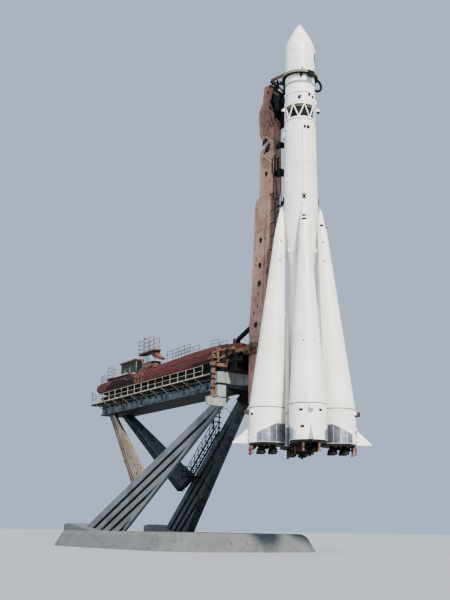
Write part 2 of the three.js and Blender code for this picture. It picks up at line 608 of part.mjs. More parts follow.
// Hinge frame under the carriage, and the carriage: side beams, an end plate, bosses for
// the boom's hinge, and jacks that stand on the bearing blocks
const CARRIAGE = { foot: 17.0, top: 17.27, rear: -10.9, front: -6.55 };
const FRAME_HALF = 1.5;
piece('hinge_frame', 'black', box(-10.3, -7.5, -FRAME_HALF, FRAME_HALF, 15.4 + GAP, CARRIAGE.foot - GAP));
const sideBeam = (side) => {
  const plan = [[CARRIAGE.rear, 1.05], [CARRIAGE.front, 1.05], [CARRIAGE.front, 1.42], [CARRIAGE.rear, 1.8]];
  const loop = side < 0 ? plan.map(([x, y]) => [x, -y]).reverse() : plan;
  return stacked([CARRIAGE.foot, CARRIAGE.top].map((z) => loop.map(([x, y]) => [x, y, z])));
};
const GUSSET = [[-9.95, 16.0], [-8.75, 16.0], [-9.15, 17.1], [-9.45, 17.1]];
const carriageSide = [-1, 1].flatMap((side) => [
  sideBeam(side),
  box(-7.0, -4.9, ...sided(side, BOOM_HALF.low + GAP, 1.1), 16.75, 17.45),
  sidePlate(GUSSET, ...sided(side, FRAME_HALF + GAP, 1.63)),
  box(-9.45, -8.95, ...sided(side, FRAME_HALF + GAP, 3.05), 15.85, 16.15),
  rod([-9.2, side * 2.9, 13.1 + GAP], [-9.2, side * 2.9, 16.0], 0.2, 14),
  rod([-5.8, side * 1.0, 17.1], [-5.8, side * 1.4, 17.1], 0.28, 16),
]);
piece('hinge_carriage', 'tan', join(box(-11 + GAP, -10.6, -1.2, 1.2, CARRIAGE.foot, 17.34), ...carriageSide));

// Ram from the hull's roof to the boom
const eye = ([x, z], r) => rod([x, -0.17 + GAP, z], [x, 0.17 - GAP, z], r, 12);
const ramAt = (t) => [0, 1].map((i) => RAM_EYES.hull[i] + (RAM_EYES.boom[i] - RAM_EYES.hull[i]) * t);
const ramPoint = (t) => [ramAt(t)[0], 0, ramAt(t)[1]];
piece('boom_ram', 'black', join(
  eye(RAM_EYES.hull, 0.2), eye(RAM_EYES.boom, 0.16),
  rod(ramPoint(0.0), ramPoint(0.16), 0.13, 12),
  rod(ramPoint(0.14), ramPoint(0.84), 0.22, 16),
  rod(ramPoint(0.8), ramPoint(1.0), 0.13, 12)));

// Stair from a landing on the far right-hand leg, and an upright ladder to the portal's height
const STAIR = { half: 0.3, foot: [-20.3, 1.4, 6.8], head: [-14.1, 0.55, 10.75], treads: 12 };
const LADDER = { top: GIRDER_FOOT - GAP, pitch: 0.45 };
const stairAt = (t) => STAIR.foot.map((v, i) => v + (STAIR.head[i] - v) * t);
const stairParts = [box(-21.2, -19.9, 0.95, 3.2, 6.72, 6.88)];
const [ladderX, ladderY, ladderZ] = STAIR.head;
for (const side of [-STAIR.half, STAIR.half]) {
  const ends = [0, 1].map((t) => stairAt(t).map((v, i) => (i === 1 ? v + side : v)));
  stairParts.push(bar(...ends, 0.08, 0.2));
  stairParts.push(box(ladderX - 0.06, ladderX + 0.06, ladderY + side - 0.04, ladderY + side + 0.04, ladderZ - 0.1, LADDER.top));
}
for (let i = 1; i < STAIR.treads; i += 1) {
  const [x, y, z] = stairAt(i / STAIR.treads);
  stairParts.push(box(x - 0.12, x + 0.12, y - STAIR.half, y + STAIR.half, z - 0.03, z + 0.03));
}
for (let z = ladderZ + LADDER.pitch; z < LADDER.top; z += LADDER.pitch) {
  stairParts.push(box(ladderX - 0.03, ladderX + 0.03, ladderY - STAIR.half, ladderY + STAIR.half, z - 0.03, z + 0.03));
}
const legOutside = box(-5, right.long, -10, 30, -LEG_THICK / 2 - GAP, 20).applyMatrix4(right.frame);
piece('access_stair', 'slate', cut(join(...stairParts), legOutside));

export default group;
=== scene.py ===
from math import cos, radians, sin, sqrt

import bpy
import numpy as np
from mathutils import Matrix, Vector


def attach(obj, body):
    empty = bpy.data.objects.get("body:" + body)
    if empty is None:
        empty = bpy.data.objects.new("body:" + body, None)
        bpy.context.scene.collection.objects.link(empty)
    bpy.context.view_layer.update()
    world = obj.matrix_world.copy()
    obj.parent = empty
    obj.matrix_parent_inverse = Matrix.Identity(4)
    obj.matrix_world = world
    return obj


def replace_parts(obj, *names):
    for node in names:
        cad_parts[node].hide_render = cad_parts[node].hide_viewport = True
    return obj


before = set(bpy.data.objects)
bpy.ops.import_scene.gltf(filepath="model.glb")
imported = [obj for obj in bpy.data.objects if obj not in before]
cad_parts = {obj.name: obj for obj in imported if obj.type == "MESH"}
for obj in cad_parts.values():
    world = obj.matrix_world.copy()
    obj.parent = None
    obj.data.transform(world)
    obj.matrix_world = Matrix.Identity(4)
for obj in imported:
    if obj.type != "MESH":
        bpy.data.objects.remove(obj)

bl_info = {
    "name": "Space rocket on its erector",
    "version": (1, 0, 0),
    "blender": (4, 5, 0),
    "location": "View3D > Sidebar > Rocket",
    "description": "Builds the painted skins, fittings and weathering of a half-size rocket display",
    "category": "Add Mesh",
}

# Sizes are in metres of the real thing, from the rocket's axis on the floor. +X is away from the wagon and
# +Y away from the photographer. A station is a height above the nozzles' exits.
HALF = 0.5  # the model's scale
AXIS_X = 20.5  # from the middle of the mound to the rocket's axis
NOZZLE_Z = 7.7  # height of the nozzles' exits
ANGLES = (62, 152, 242, 332)  # plan directions of boosters 1 to 4, in degrees
OFFSET = 2.87  # from the core's axis to the axis of a booster's tail
SEAM = 3.6  # station where a booster's tanks meet its tail
LEAN = 0.0715  # metres a metre that a booster leans inwards above its seam
SKIRT = 0.8  # station of a booster's lower rim
TAIL_R = 1.46  # radius of a booster's tail
CLAMP = 32.86  # station of the clamp ring
TIP = 0.001  # radius that stands for a point on the axis
GROOVE = 0.03  # half the width of a groove in a skin
SUNK = 0.01  # how far the back of a plate or hoop lies under the skin
SIDES = (-1, 1)  # factors for the two sides of a plane, for the boom's the near and the far one
JACK = (-9.2, 2.9)  # plan point of the far jack beside the carriage
THIRDS = (1.0, 0.66, 0.33)  # heights of three rails, as shares of the post's
ROOT = "rocket_on_stand"


def linear(colour):
    """Linear RGBA from an sRGB hex string such as "e8e5db"."""
    values = [int(colour[i:i + 2], 16) / 255 for i in (0, 2, 4)]
    return tuple(v / 12.92 if v <= 0.04045 else ((v + 0.055) / 1.055) ** 2.4 for v in values) + (1.0,)


def put(tree, kind, sockets=None, **settings):
    """Adds a node. A socket given another node's output is linked, any other value is set."""
    node = tree.nodes.new(kind)
    for key, value in settings.items():
        setattr(node, key, value)
    for key, value in (sockets or {}).items():
        if isinstance(value, bpy.types.NodeSocket):
            tree.links.new(value, node.inputs[key])
        else:
            node.inputs[key].default_value = value
    return node


def remap(tree, value, from_min, from_max, to_min=0.0, to_max=1.0, kind="LINEAR"):
    """Maps a value from one range onto another."""
    return put(tree, "ShaderNodeMapRange", {"Value": value, "From Min": from_min, "From Max": from_max,
                                            "To Min": to_min, "To Max": to_max},
               interpolation_type=kind).outputs["Result"]


def noise(tree, where, size, detail=4.0, stretch=1.0):
    """Noise whose grains are about `size` metres, drawn out along Z by `stretch`."""
    if stretch != 1:
        where = put(tree, "ShaderNodeMapping", {"Vector": where, "Scale": (1, 1, 1 / stretch)}).outputs[0]
    return put(tree, "ShaderNodeTexNoise", {"Vector": where, "Scale": 1 / size, "Detail": detail}).outputs[0]


def mix(tree, factor, first, second):
    """Mix of two linear colours or outputs. Sockets 6, 7 and 2 are the node's two colours and its result."""
    return put(tree, "ShaderNodeMix", {0: factor, 6: first, 7: second}, data_type="RGBA").outputs[2]


def maths(tree, operation, first, second):
    """The result of one operation on two values."""
    return put(tree, "ShaderNodeMath", {0: first, 1: second}, operation=operation).outputs[0]


def surface(name, base, tint, streak, patch="000000", roughness=0.5, metallic=0.0, blotch=0.8, streaks=0.3,
            patches=0.0, grain=0.05, relief=0.004, rings=0.0, shine=0.2):
    """A weathered finish: `base` with blotches of `tint`, runs of `streak` down Z, and patches of `patch`
    where noise passes a threshold. `rings` darkens thin level joints at even heights."""
    run_width, run_stretch = 0.11, 14.0  # of the runs of dirt, metres wide and drawn out along Z
    ring_pitch, ring_width = 0.62, 0.006  # of the level joints, metres apart and wide
    patch_size, patch_stretch = 0.16, 1.6
    material = bpy.data.materials.new(name)
    material.use_nodes = True
    tree = material.node_tree
    shader = tree.nodes["Principled BSDF"]
    where = put(tree, "ShaderNodeTexCoord").outputs["Object"]
    blotches = remap(tree, noise(tree, where, blotch, 5.0), 0.42, 0.68, kind="SMOOTHSTEP")
    colour = mix(tree, blotches, linear(base), linear(tint))
    runs = remap(tree, noise(tree, where, run_width, 6.0, run_stretch), 0.5, 0.78, kind="SMOOTHSTEP")
    colour = mix(tree, maths(tree, "MULTIPLY", runs, streaks), colour, linear(streak))
    height = maths(tree, "MULTIPLY", noise(tree, where, grain, 6.0), 0.3)
    if rings:
        along = put(tree, "ShaderNodeSeparateXYZ", {"Vector": where}).outputs["Z"]
        joint = remap(tree, maths(tree, "PINGPONG", along, ring_pitch), 0.0, ring_width, 1.0, 0.0)
        colour = mix(tree, maths(tree, "MULTIPLY", joint, rings), colour, linear(streak))
        height = maths(tree, "SUBTRACT", height, joint)
    if patches:
        bare = remap(tree, noise(tree, where, patch_size, 9.0, patch_stretch), 0.66 - patches * 0.25,
                     0.72 - patches * 0.2, kind="SMOOTHSTEP")
        colour = mix(tree, bare, colour, linear(patch))
        height = maths(tree, "ADD", height, bare)
    rough = remap(tree, noise(tree, where, blotch * 0.3), 0.3, 0.7, roughness - 0.08,
                  min(1.0, roughness + 0.12))
    bump = put(tree, "ShaderNodeBump", {"Height": height, "Distance": relief, "Strength": 0.6})
    tree.links.new(colour, shader.inputs["Base Color"])
    tree.links.new(rough, shader.inputs["Roughness"])
    tree.links.new(bump.outputs[0], shader.inputs["Normal"])
    shader.inputs["Metallic"].default_value = metallic
    shader.inputs["Specular IOR Level"].default_value = shine
    return material


def look(colours, **amounts):
    """A row of FINISHES: its base, tint and streak and, with `patches`, its patch colour, then amounts."""
    return {**dict(zip(("base", "tint", "streak", "patch"), colours.split())), **amounts}


# One row per finish, with a comment on what it is and how it was made
FINISHES = {
    # Aluminium skins, sprayed white enamel, washed by rain
    "white_enamel_sprayed": look("f4f1e8 e6e3d9 b5ab97", roughness=0.38, blotch=1.3, streaks=0.32,
                                 rings=0.28, relief=0.002, shine=0.5),
    # The same enamel on the narrow upper stages, without the ring joints
    "white_enamel_plain": look("f4f1e8 e6e3d9 b9b09e", roughness=0.38, blotch=1.0, streaks=0.25,
                               relief=0.002, shine=0.5),
    # Cable ducts down the boosters, enamel gone yellow
    "cream_enamel_yellowed": look("e3dcc4 d6cdb2 a3957a", roughness=0.42, blotch=0.5, relief=0.002),
    # Bands and brackets, brushed grey enamel
    "grey_enamel_brushed": look("8b9197 7b8187 5f6265", blotch=0.3),
    # Bare rolled aluminium plate, riveted over the tails
    "aluminium_rolled_bare": look("aeb3ba 8d949d 5d6066", roughness=0.34, metallic=0.9, blotch=0.35,
                                  streaks=0.55, grain=0.02, shine=0.5),
    # The same plate, darker, on the plates nearer the core
    "aluminium_rolled_darker": look("71767d 5b6068 3d4045", roughness=0.42, metallic=0.85, blotch=0.35,
                                    streaks=0.55, grain=0.02, shine=0.5),
    # Engine frames and bells, steel blackened by heat
    "steel_heat_blackened": look("1c1a18 2a2622 0f0f10 3c2e25", roughness=0.6, metallic=0.5, blotch=0.2,
                                 streaks=0.4, patches=0.2),
    # Steering chambers, copper alloy dulled by weather
    "copper_alloy_dulled": look("7a5548 5c3f36 33241f 211b18", metallic=0.6, blotch=0.12, streaks=0.5,
                                patches=0.3),
    # Boom plates, tan oil paint faded over primer
    "tan_oil_paint_faded": look("977567 846353 573c30 4a2c20", roughness=0.68, blotch=0.7, streaks=0.45,
                                patches=0.22),
    # The boom's head, the same paint made darker as painted shade, with more runs of grime
    "tan_paint_with_painted_shade": look("76594b 67493c 3d2b23 3a241b", roughness=0.7, streaks=0.55, blotch=0.5,
                                patches=0.26),
    # Clamp arms, carriage and deck fittings, brown paint gone to rust
    "brown_paint_rusted": look("664e3e 48362b 221b16 4b281a", roughness=0.72, blotch=0.3, streaks=0.5,
                               patches=0.4),
    # Boom seams, deck bracket and cabin roof edge, steel rusted brown
    "rust_line_brown": look("5f3b2e 4b2e25 30211c", roughness=0.8, blotch=0.2),
    # Clamp ring and the third stage's underside, olive-green oil paint gone dull
    "olive_paint_dull": look("74755a 62634b 3f3f31 5c4a36", roughness=0.6, blotch=0.3, streaks=0.4,
                             patches=0.1),
    # Rams, hoses and open ironwork in black bitumen paint; the same black is also painted shade in gaps,
    # hollows, holes and undersides
    "black_paint_and_painted_shade": look("0d0e10 121315 08090a 1c1611", roughness=0.7, blotch=0.25, patches=0.12,
                                shine=0.12),
    # Wagon hull, dark red lead paint
    "red_lead_paint_dull": look("4a1c19 381512 1a0b0a 4a281c", roughness=0.66, blotch=0.6, streaks=0.55,
                                patches=0.24),
    # Far legs and the far edge plate, made dark blue-grey as painted shade, with runs of rain
    "slate_painted_shade_rain_streaked": look("454c51 2d3236 161717 3a2f25", roughness=0.66, blotch=0.4,
                                      streaks=0.7, patches=0.3),
    # Girder and its ribs, the same paint worn to its primer
    "slate_paint_mottled": look("5a656d 25292c 141515 33291f", roughness=0.66, blotch=0.5, streaks=0.75,
                                patches=0.34),
    # Booster fittings, brown paint blackened by soot
    "brown_paint_sooted": look("3a2a22 1a1412 141011 5a3a28", roughness=0.7, blotch=0.5, streaks=0.5,
                               patches=0.25),
    # Hull sides under the deck and low down near the carriage, red lead paint made near black as painted
    # shadow
    "red_lead_painted_shadow": look("15100f 0d0c0c 24120f 451e18", roughness=0.8, blotch=0.4, streaks=0.7,
                                  patches=0.22, shine=0.1),
    # Right near leg and its edge plate, grey paint chalked by the sun
    "grey_paint_chalked": look("616568 4f5356 2b2c2c 5e4d3e", roughness=0.72, blotch=0.9, streaks=0.4,
                               patches=0.1),
    # Left near leg and the boom joint's links, grey paint bled through by rust
    "grey_paint_rust_bled": look("857c6b 756754 4a3b2f 5b3925", roughness=0.74, streaks=0.6, patches=0.42),
    # Crosshead, aged light grey paint
    "light_grey_paint_aged": look("8b8c8a 777975 45423c 6b5a48", roughness=0.66, blotch=0.5, streaks=0.4,
                                  patches=0.12),
    # Walkway railings, cabin frame and cabin deck, cream paint flaking off
    "cream_paint_flaking": look("a8a18e 8b826e 65584a 6d4930", roughness=0.6, blotch=0.2, streaks=0.4,
                                patches=0.3),
    # Cabin, faded green paint
    "green_paint_faded": look("263c2b 1b2b20 121a13 3f3222", roughness=0.62, blotch=0.3, streaks=0.5,
                              patches=0.24),
    # Mound, concrete poured on the spot and stained by rain
    "concrete_poured_stained": look("636565 575959 3e3e3c 4a4945", roughness=0.92, blotch=0.9, streaks=0.25,
                                    patches=0.2, grain=0.03, relief=0.012),
    # Cabin windows, dusty glass with a dark room behind, as one black coat
    "window_glass_dusty": look("14181a 22282a 3c3f3c", roughness=0.18, blotch=0.3, streaks=0.2,
                               relief=0.0005),
}
FINISH = {}


def paint(**finishes):
    """Gives nodes of the frame their finishes."""
    for node, finish in finishes.items():
        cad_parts[node].material_slots[0].material = FINISH[finish]


def circle(sides):
    """Points (cos t, sin t) at `sides` even turns."""
    t = np.arange(sides) * 2 * np.pi / sides
    return np.stack([np.cos(t), np.sin(t)], axis=1)


def unit(vectors):
    """Vectors along the last axis, each made one metre long."""
    return vectors / np.linalg.norm(vectors, axis=-1, keepdims=True)


def around(angle, radius, sideways=0.0):
    """Plan point at `radius` in the direction `angle` (degrees), then `sideways` to its left."""
    a = radians(angle)
    return (radius * cos(a) - sideways * sin(a), radius * sin(a) + sideways * cos(a))


def up(s):
    """Height above the floor of station s."""
    return s + NOZZLE_Z


def at(angle, radius, s, sideways=0.0, centre=(0.0, 0.0)):
    """Point at station s, `around` the plan point `centre`, which may be a function of the station."""
    x0, y0 = centre(s) if callable(centre) else centre
    x, y = around(angle, radius, sideways)
    return (x0 + x, y0 + y, up(s))


class Pile:
    """Vertices and faces of one piece, gathered shape by shape in real metres."""

    def __init__(self):
        self.points = []
        self.faces = []
        self.count = 0

    def grid(self, rows, caps=True):
        """Rows of points, each closed on itself, joined by quads, with `caps` on both ends. The signed
        volume is the sum of the tetrahedra from the middle to each triangle. Where it is below zero, the
        faces point inwards and are turned round."""
        rows = np.asarray(rows, float)
        n, m = rows.shape[:2]
        faces = [(i * m + j, i * m + (j + 1) % m, (i + 1) * m + (j + 1) % m, (i + 1) * m + j)
                 for i in range(n - 1) for j in range(m)]
        if caps:
            faces += [tuple(range(m))[::-1], tuple(range((n - 1) * m, n * m))]
        points = rows.reshape(-1, 3)
        fans = np.array([(face[0], face[i], face[i + 1]) for face in faces for i in range(1, len(face) - 1)])
        a, b, c = np.moveaxis((points - points.mean(axis=0))[fans], 1, 0)
        if np.sum(a * np.cross(b, c)) < 0:
            faces = [face[::-1] for face in faces]
        self.points.append(points)
        self.faces += [tuple(i + self.count for i in face) for face in faces]
        self.count += len(points)

    def mirror(self):
        """Adds the mirror image, across the boom's plane, of every shape so far."""
        self.faces += [tuple(i + self.count for i in face[::-1]) for face in self.faces]
        self.points += [points * (1, -1, 1) for points in self.points]
        self.count *= 2

    def extrude(self, outline, axis, low, high):
        """A plate: an outline in the plane across `axis` (0 x, 1 y, 2 z), from `low` to `high` along it."""
        self.grid([np.insert(np.array(outline, float), axis, value, axis=1) for value in (low, high)])

    def box(self, x0, x1, y0, y1, z0, z1):
        """A box between two corners."""
        self.extrude([(x0, y0), (x1, y0), (x1, y1), (x0, y1)], 2, z0, z1)

    def boxes(self, *rows):
        """A box for each row of six numbers."""
        for row in rows:
            self.box(*row)

    def post(self, x, y, half_x, half_y, z0, z1):
        """An upright box about the plan point (x, y)."""
        self.box(x - half_x, x + half_x, y - half_y, y + half_y, z0, z1)

    def bar(self, start, end, radius, sides=8):
        """A round bar: circles of `radius` about both ends of the line."""
        a, b = np.array(start, float), np.array(end, float)
        along = unit(b - a)
        side = unit(np.cross(along, (0, 0, 1.0) if abs(along[2]) < 0.9 else (0, 1.0, 0)))
        rim = radius * circle(sides) @ (side, np.cross(along, side))
        self.grid([a + rim, b + rim])

    def lines(self, points, radius, sides=6):
        """Round bars from point to point."""
        for a, b in zip(points, points[1:]):
            self.bar(a, b, radius, sides)

    def hose(self, path, radius, steps=8):
        """A bent tube through `path`: a smooth cubic between the points, swept by a circle."""
        p = np.array(path, float)
        p = np.vstack([2 * p[0] - p[1], p, 2 * p[-1] - p[-2]])
        line = [0.5 * (2 * p[k] + (p[k + 1] - p[k - 1]) * t
                       + (2 * p[k - 1] - 5 * p[k] + 4 * p[k + 1] - p[k + 2]) * t ** 2
                       + (3 * p[k] - p[k - 1] - 3 * p[k + 1] + p[k + 2]) * t ** 3)
                for k in range(1, len(p) - 2) for t in np.arange(steps) / steps]
        line = np.array(line + [p[-2]])
        along = unit(np.gradient(line, axis=0))
        side = unit(np.cross(along, (0.31, 0.87, 0.38)))
        self.grid(line[:, None] + radius * circle(8) @ np.stack([side, np.cross(along, side)], axis=1))

    def revolve(self, profile, centre=(0.0, 0.0), sides=96, lean=0.0, toward=0.0):
        """(radius, station) pairs turned about an upright axis. From the boosters' seam on, the axis moves
        by `lean` metres a metre in the plan direction `toward`, in degrees."""
        r, s = np.array(profile, float).T[:, :, None]
        x, y = circle(sides).T
        dx, dy = around(toward, lean * (s - SEAM))
        x, y, z = centre[0] + r * x + dx, centre[1] + r * y + dy, up(s) + 0 * x
        self.grid(np.stack([x, y, z], axis=2), caps=False)

    def patch(self, radius, angle, s0, s1, spread, proud, centre=(0.0, 0.0), steps=6):
        """A curved plate `spread` degrees wide about `angle`, from station s0 to s1 of a round body.
        `radius` is a function of the station. The plate stands `proud` metres off the skin."""
        self.grid([[at(t, radius(s) + dr, s, centre=centre)
                    for s, dr in ((s0, proud), (s1, proud), (s1, -SUNK), (s0, -SUNK))]
                   for t in np.linspace(angle - spread / 2, angle + spread / 2, steps + 1)])

    def band(self, radius, s0, s1, proud, centre=(0.0, 0.0)):
        """A hoop round a body, `proud` metres off the skin from station s0 to s1."""
        self.revolve([(radius(s0) - SUNK, s0), (radius(s0) + proud, s0), (radius(s1) + proud, s1),
                      (radius(s1) - SUNK, s1)], centre)

    def ball(self, centre, size):
        """An ellipsoid: centre plus size x (cos u cos v, cos u sin v, sin u)."""
        u = np.linspace(-np.pi / 2 + 0.02, np.pi / 2 - 0.02, 10)[:, None, None]
        level = np.pad(circle(16), ((0, 0), (0, 1)))
        self.grid(np.array(centre) + np.array(size) * (np.cos(u) * level + np.sin(u) * (0, 0, 1.0)))

    def piece(self, name, material, body=ROOT, smooth=True, bevel=0.0):
        """Makes the object in the model's own frame, painted and riding on `body`."""
        points = (np.vstack(self.points) + (AXIS_X, 0, 0)) * HALF
        mesh = bpy.data.meshes.new(name)
        mesh.from_pydata(points.tolist(), [], self.faces)
        mesh.validate()
        mesh.materials.append(FINISH[material])
        if smooth:
            mesh.polygons.foreach_set("use_smooth", [True] * len(mesh.polygons))
            mesh.set_sharp_from_angle(angle=radians(32))
        obj = bpy.data.objects.new(name, mesh)
        bpy.context.scene.collection.objects.link(obj)
        if bevel:
            edge = obj.modifiers.new("edges", "BEVEL")
            edge.width = bevel * HALF
            edge.segments = 2
            edge.limit_method = "ANGLE"
        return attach(obj, body)


def radius_of(profile):
    """The radius of a profile as a function of the station."""
    radii, stations = zip(*profile)
    return lambda s: float(np.interp(s, stations, radii))


# Outlines of the round bodies, as (radius, station)
CORE_PROFILE = [(1.07, 3.6), (1.07, 15.5), (1.33, 18.7), (1.475, 20.3), (1.34, 28.3), (1.33, 28.9)]
THIRD_PROFILE = [(1.33, 30.0), (1.33, 31.2), (1.3, 31.25), (1.3, 32.95)]
NOSE_PROFILE = [(1.3, 32.95), (1.3, 35.95), (1.235, 36.14), (1.17, 36.3), (1.06, 36.57), (0.93, 36.85),
                (0.77, 37.18), (0.6, 37.5), (0.44, 37.77), (0.3, 38.0), (0.2, 38.15), (0.13, 38.26),
                (0.07, 38.33), (TIP, 38.36)]
TANK_PROFILE = [(1.46, 3.6), (1.415, 4.1), (0.42, 18.7), (0.3, 19.6), (0.14, 20.55), (0.07, 20.72),
                (TIP, 20.8)]
CORE, THIRD, NOSE, TANK = map(radius_of, (CORE_PROFILE, THIRD_PROFILE, NOSE_PROFILE, TANK_PROFILE))
TAIL = radius_of([(TAIL_R, SKIRT), (TAIL_R, SEAM)])


def booster_axis(angle, s):
    """Plan point of a booster's axis at station s."""
    return around(angle, OFFSET - LEAN * max(0.0, s - SEAM))


def grooved(profile, seams, depth):
    """A (radius, station) profile with a small square groove cut at each seam station."""
    radius = radius_of(profile)
    rows = [(r, s) for r, s in profile if all(abs(s - q) > GROOVE for q in seams)]
    rows += [(radius(q + ds) - dr, q + ds) for q in seams
             for ds, dr in ((-GROOVE, 0), (-GROOVE * 0.7, depth), (GROOVE * 0.7, depth), (GROOVE, 0))]
    return sorted(rows, key=lambda p: p[1])


def stage_skins(sizes):
    """Smooth skins of nose, third stage and core, grooved at their joints."""

    def skin(name, node, profile, seams, finish):
        """A grooved profile, closed on the axis at both ends, turned about it."""
        pile = Pile()
        rows = grooved(profile, seams, sizes.groove_depth)
        rows = [(TIP, rows[0][1])] + rows
        pile.revolve(rows if rows[-1][0] == TIP else rows + [(TIP, rows[-1][1])])
        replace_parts(pile.piece(name, finish), node)

    skin("nose_skin", "payload_fairing", NOSE_PROFILE, [33.15, 35.3], "white_enamel_plain")
    skin("third_stage_skin", "third_stage", THIRD_PROFILE, [30.18, 31.08, 32.5], "white_enamel_plain")
    skin("core_skin", "core_stage", CORE_PROFILE[:-1] + [(1.332, 28.7)], [24.6, 20.42, 17.0],
         "white_enamel_sprayed")
    skin("core_tail_skin", "core_tail", [(1.07, 0.802), (1.07, 3.598)], [2.2], "white_enamel_sprayed")


def bands_and_hatches():
    """Grey and dark bands, hatches, marks and cable lines of nose, third stage and core."""
    grey = Pile()
    grey.band(THIRD, 31.98, 32.24, 0.006)
    grey.patch(THIRD, 325, 30.5, 30.78, 12, 0.012)
    grey.piece("grey_bands", "grey_enamel_brushed")

    dark = Pile()
    dark.band(CORE, 28.56, 28.61, 0.012)
    dark.band(THIRD, 31.06, 31.1, 0.006)
    dark.patch(NOSE, 47, 34.55, 35.25, 16, 0.035)
    dark.revolve([(TIP, 29.86), (1.1, 29.86), (1.28, 29.99), (TIP, 29.99)])
    for body, angle, s, wide, high in ((THIRD, 0, 30.9, 11, 0.13), (THIRD, 17, 30.78, 10, 0.13),
                                       (THIRD, -30, 30.22, 6, 0.05), (CORE, -22, 27.8, 13, 0.15),
                                       (CORE, -7, 27.8, 12, 0.15), (THIRD, -40, 30.56, 10, 0.17)):
        dark.patch(body, angle, s - high, s + high, wide, 0.018, steps=3)
    # A six-armed fitting above each booster's tip, a stub below it, and two lines down the core
    mark, skin_there = 21.4, CORE(21.4)
    for angle in ANGLES:
        for turn, rise in ((-8, 0.22), (8, 0.22), (0, 0.3)):
            dark.bar(at(angle + 2 + turn, skin_there + 0.05, mark + rise),
                     at(angle + 2 - turn, skin_there + 0.05, mark - rise), 0.04)
        dark.bar(at(angle + 2, skin_there, mark), at(angle + 2, skin_there + 0.12, mark), 0.11, 12)
        dark.bar(at(angle, 2.02, 19.15), at(angle, 2.25, 19.15), 0.04)
    for angle in (331, 151):
        dark.patch(CORE, angle, 21.7, 27.6, 1.1, 0.04, steps=1)
    dark.piece("hatches_dark", "black_paint_and_painted_shade")


def stage_fittings():
    """White tanks, knobs and ducts of the stages, and painted shadows under them."""
    white, shadow_blobs = Pile(), Pile()
    for angle, out in ((56, 1.56), (238, 1.47)):
        white.ball(at(angle, out, 29.85), (0.17, 0.17, 0.2))
        white.bar(at(angle, 1.1, 29.85), at(angle, out, 29.85), 0.09, 12)
        white.bar(at(angle, 1.3, 30.2), at(angle, out, 29.93), 0.05)
        # A black blob of painted shadow under each tank
        shadow_blobs.ball(at(angle, out + 0.02, 29.76), (0.15, 0.15, 0.16))
    white.ball(at(233, 1.36, 27.6), (0.15, 0.15, 0.36))
    # A black blob of painted shadow under the tall knob
    shadow_blobs.ball(at(233, 1.35, 27.2), (0.1, 0.1, 0.1))
    for angle, s in ((20, 30.95), (50, 30.5), (48, 30.7), (205, 30.6)):
        white.ball(at(angle, 1.36, s), (0.1, 0.1, 0.12))
    for angle in ANGLES:
        for turn in (-31, 31):
            white.ball(at(angle + turn, CORE(16.7) + 0.1, 16.72), (0.13, 0.13, 0.14))
            white.ball(at(angle + turn * 0.8, CORE(16.9) + 0.1, 16.95), (0.08, 0.08, 0.1))
    for angle in (333, 153):
        white.patch(CORE, angle, 21.4, 28.0, 3.2, 0.035, steps=2)
        white.patch(THIRD, angle, 33.3, 35.7, 1.2, 0.012, steps=2)
    white.patch(NOSE, 47, 35.28, 35.6, 16, 0.07)
    white.piece("stage_fittings", "white_enamel_plain")
    shadow_blobs.piece("fitting_painted_shadows", "black_paint_and_painted_shade")


def head_brackets():
    """Brackets between each booster's tip and the core, and clips on its tanks."""
    brackets = Pile()
    for angle in ANGLES:
        for sideways in (-0.16, 0.16):
            brackets.bar(at(angle, 1.44, 20.75, sideways), at(angle, 1.62, 20.5, sideways * 0.4), 0.045)
        brackets.bar(at(angle, 1.4, 20.95), at(angle, 1.62, 20.62), 0.05)
        for s in (15.9, 17.6):
            for turn in (100, -100):
                brackets.patch(TANK, angle + turn, s, s + 0.14, 20, 0.05, booster_axis(angle, s), steps=2)
    brackets.piece("booster_head_brackets", "grey_enamel_brushed")


def truss_bay():
    """The open truss under the third stage, its hoop, and the engine bay's underside."""
    truss = Pile()
    truss.revolve([(1.2, 28.702), (1.345, 28.702), (1.345, 28.79), (1.2, 28.79), (1.2, 28.702)])
    truss.lines([at(25 + 22.5 * k, 1.285, 28.75 if k % 2 else 30.02) for k in range(17)], 0.05, 10)
    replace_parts(truss.piece("truss_tubes", "white_enamel_plain"), "interstage_truss")
    olive = Pile()
    olive.revolve([(1.14, 29.8), (1.25, 29.96), (1.25, 29.99), (1.14, 29.83), (1.14, 29.8)])
    olive.piece("third_stage_underside", "olive_paint_dull")
    paint(third_stage_engine="black_paint_and_painted_shade")


def stages(sizes):
    """Everything on nose, third stage, truss and core."""
    stage_skins(sizes)
    bands_and_hatches()
    stage_fittings()
    head_brackets()
    truss_bay()


def booster_skins(n, angle, foot, depth):
    """Smooth skins of a booster's leaning tanks and upright tail."""
    skin, shell = Pile(), Pile()
    rows = grooved(TANK_PROFILE, [8.3, 9.05, 13.4, 18.4], depth)
    skin.revolve([(TIP, rows[0][1])] + rows, foot, lean=-LEAN, toward=angle)
    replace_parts(skin.piece(f"booster_{n}_tank_skin", "white_enamel_sprayed"), f"booster_{n}_tanks")
    shell.revolve([(1.4, SKIRT), (TAIL_R + 0.004, SKIRT), (TAIL_R + 0.004, SEAM - 0.03), (1.4, SEAM - 0.03)],
                  foot)
    shell.piece(f"booster_{n}_tail_skin", "white_enamel_sprayed")


def booster_plates(plates, dull, angle, side, foot):
    """Riveted plates round one side of a booster's tail, the outer ones shiny. Their upper edge climbs."""
    for low in range(49, 160, 22):
        rows = []
        for t in np.linspace(low, min(low + 21, 179), 6):
            top = 1.5 + 0.8 * min(1.0, (t - 49) / 66)
            rows.append([at(angle + side * t, TAIL_R + dr, s, centre=foot) for s, dr in
                         ((0.83, 0.018), (top, 0.018), (top, -SUNK), (0.83, -SUNK))])
        (plates if low < 90 else dull).grid(rows)


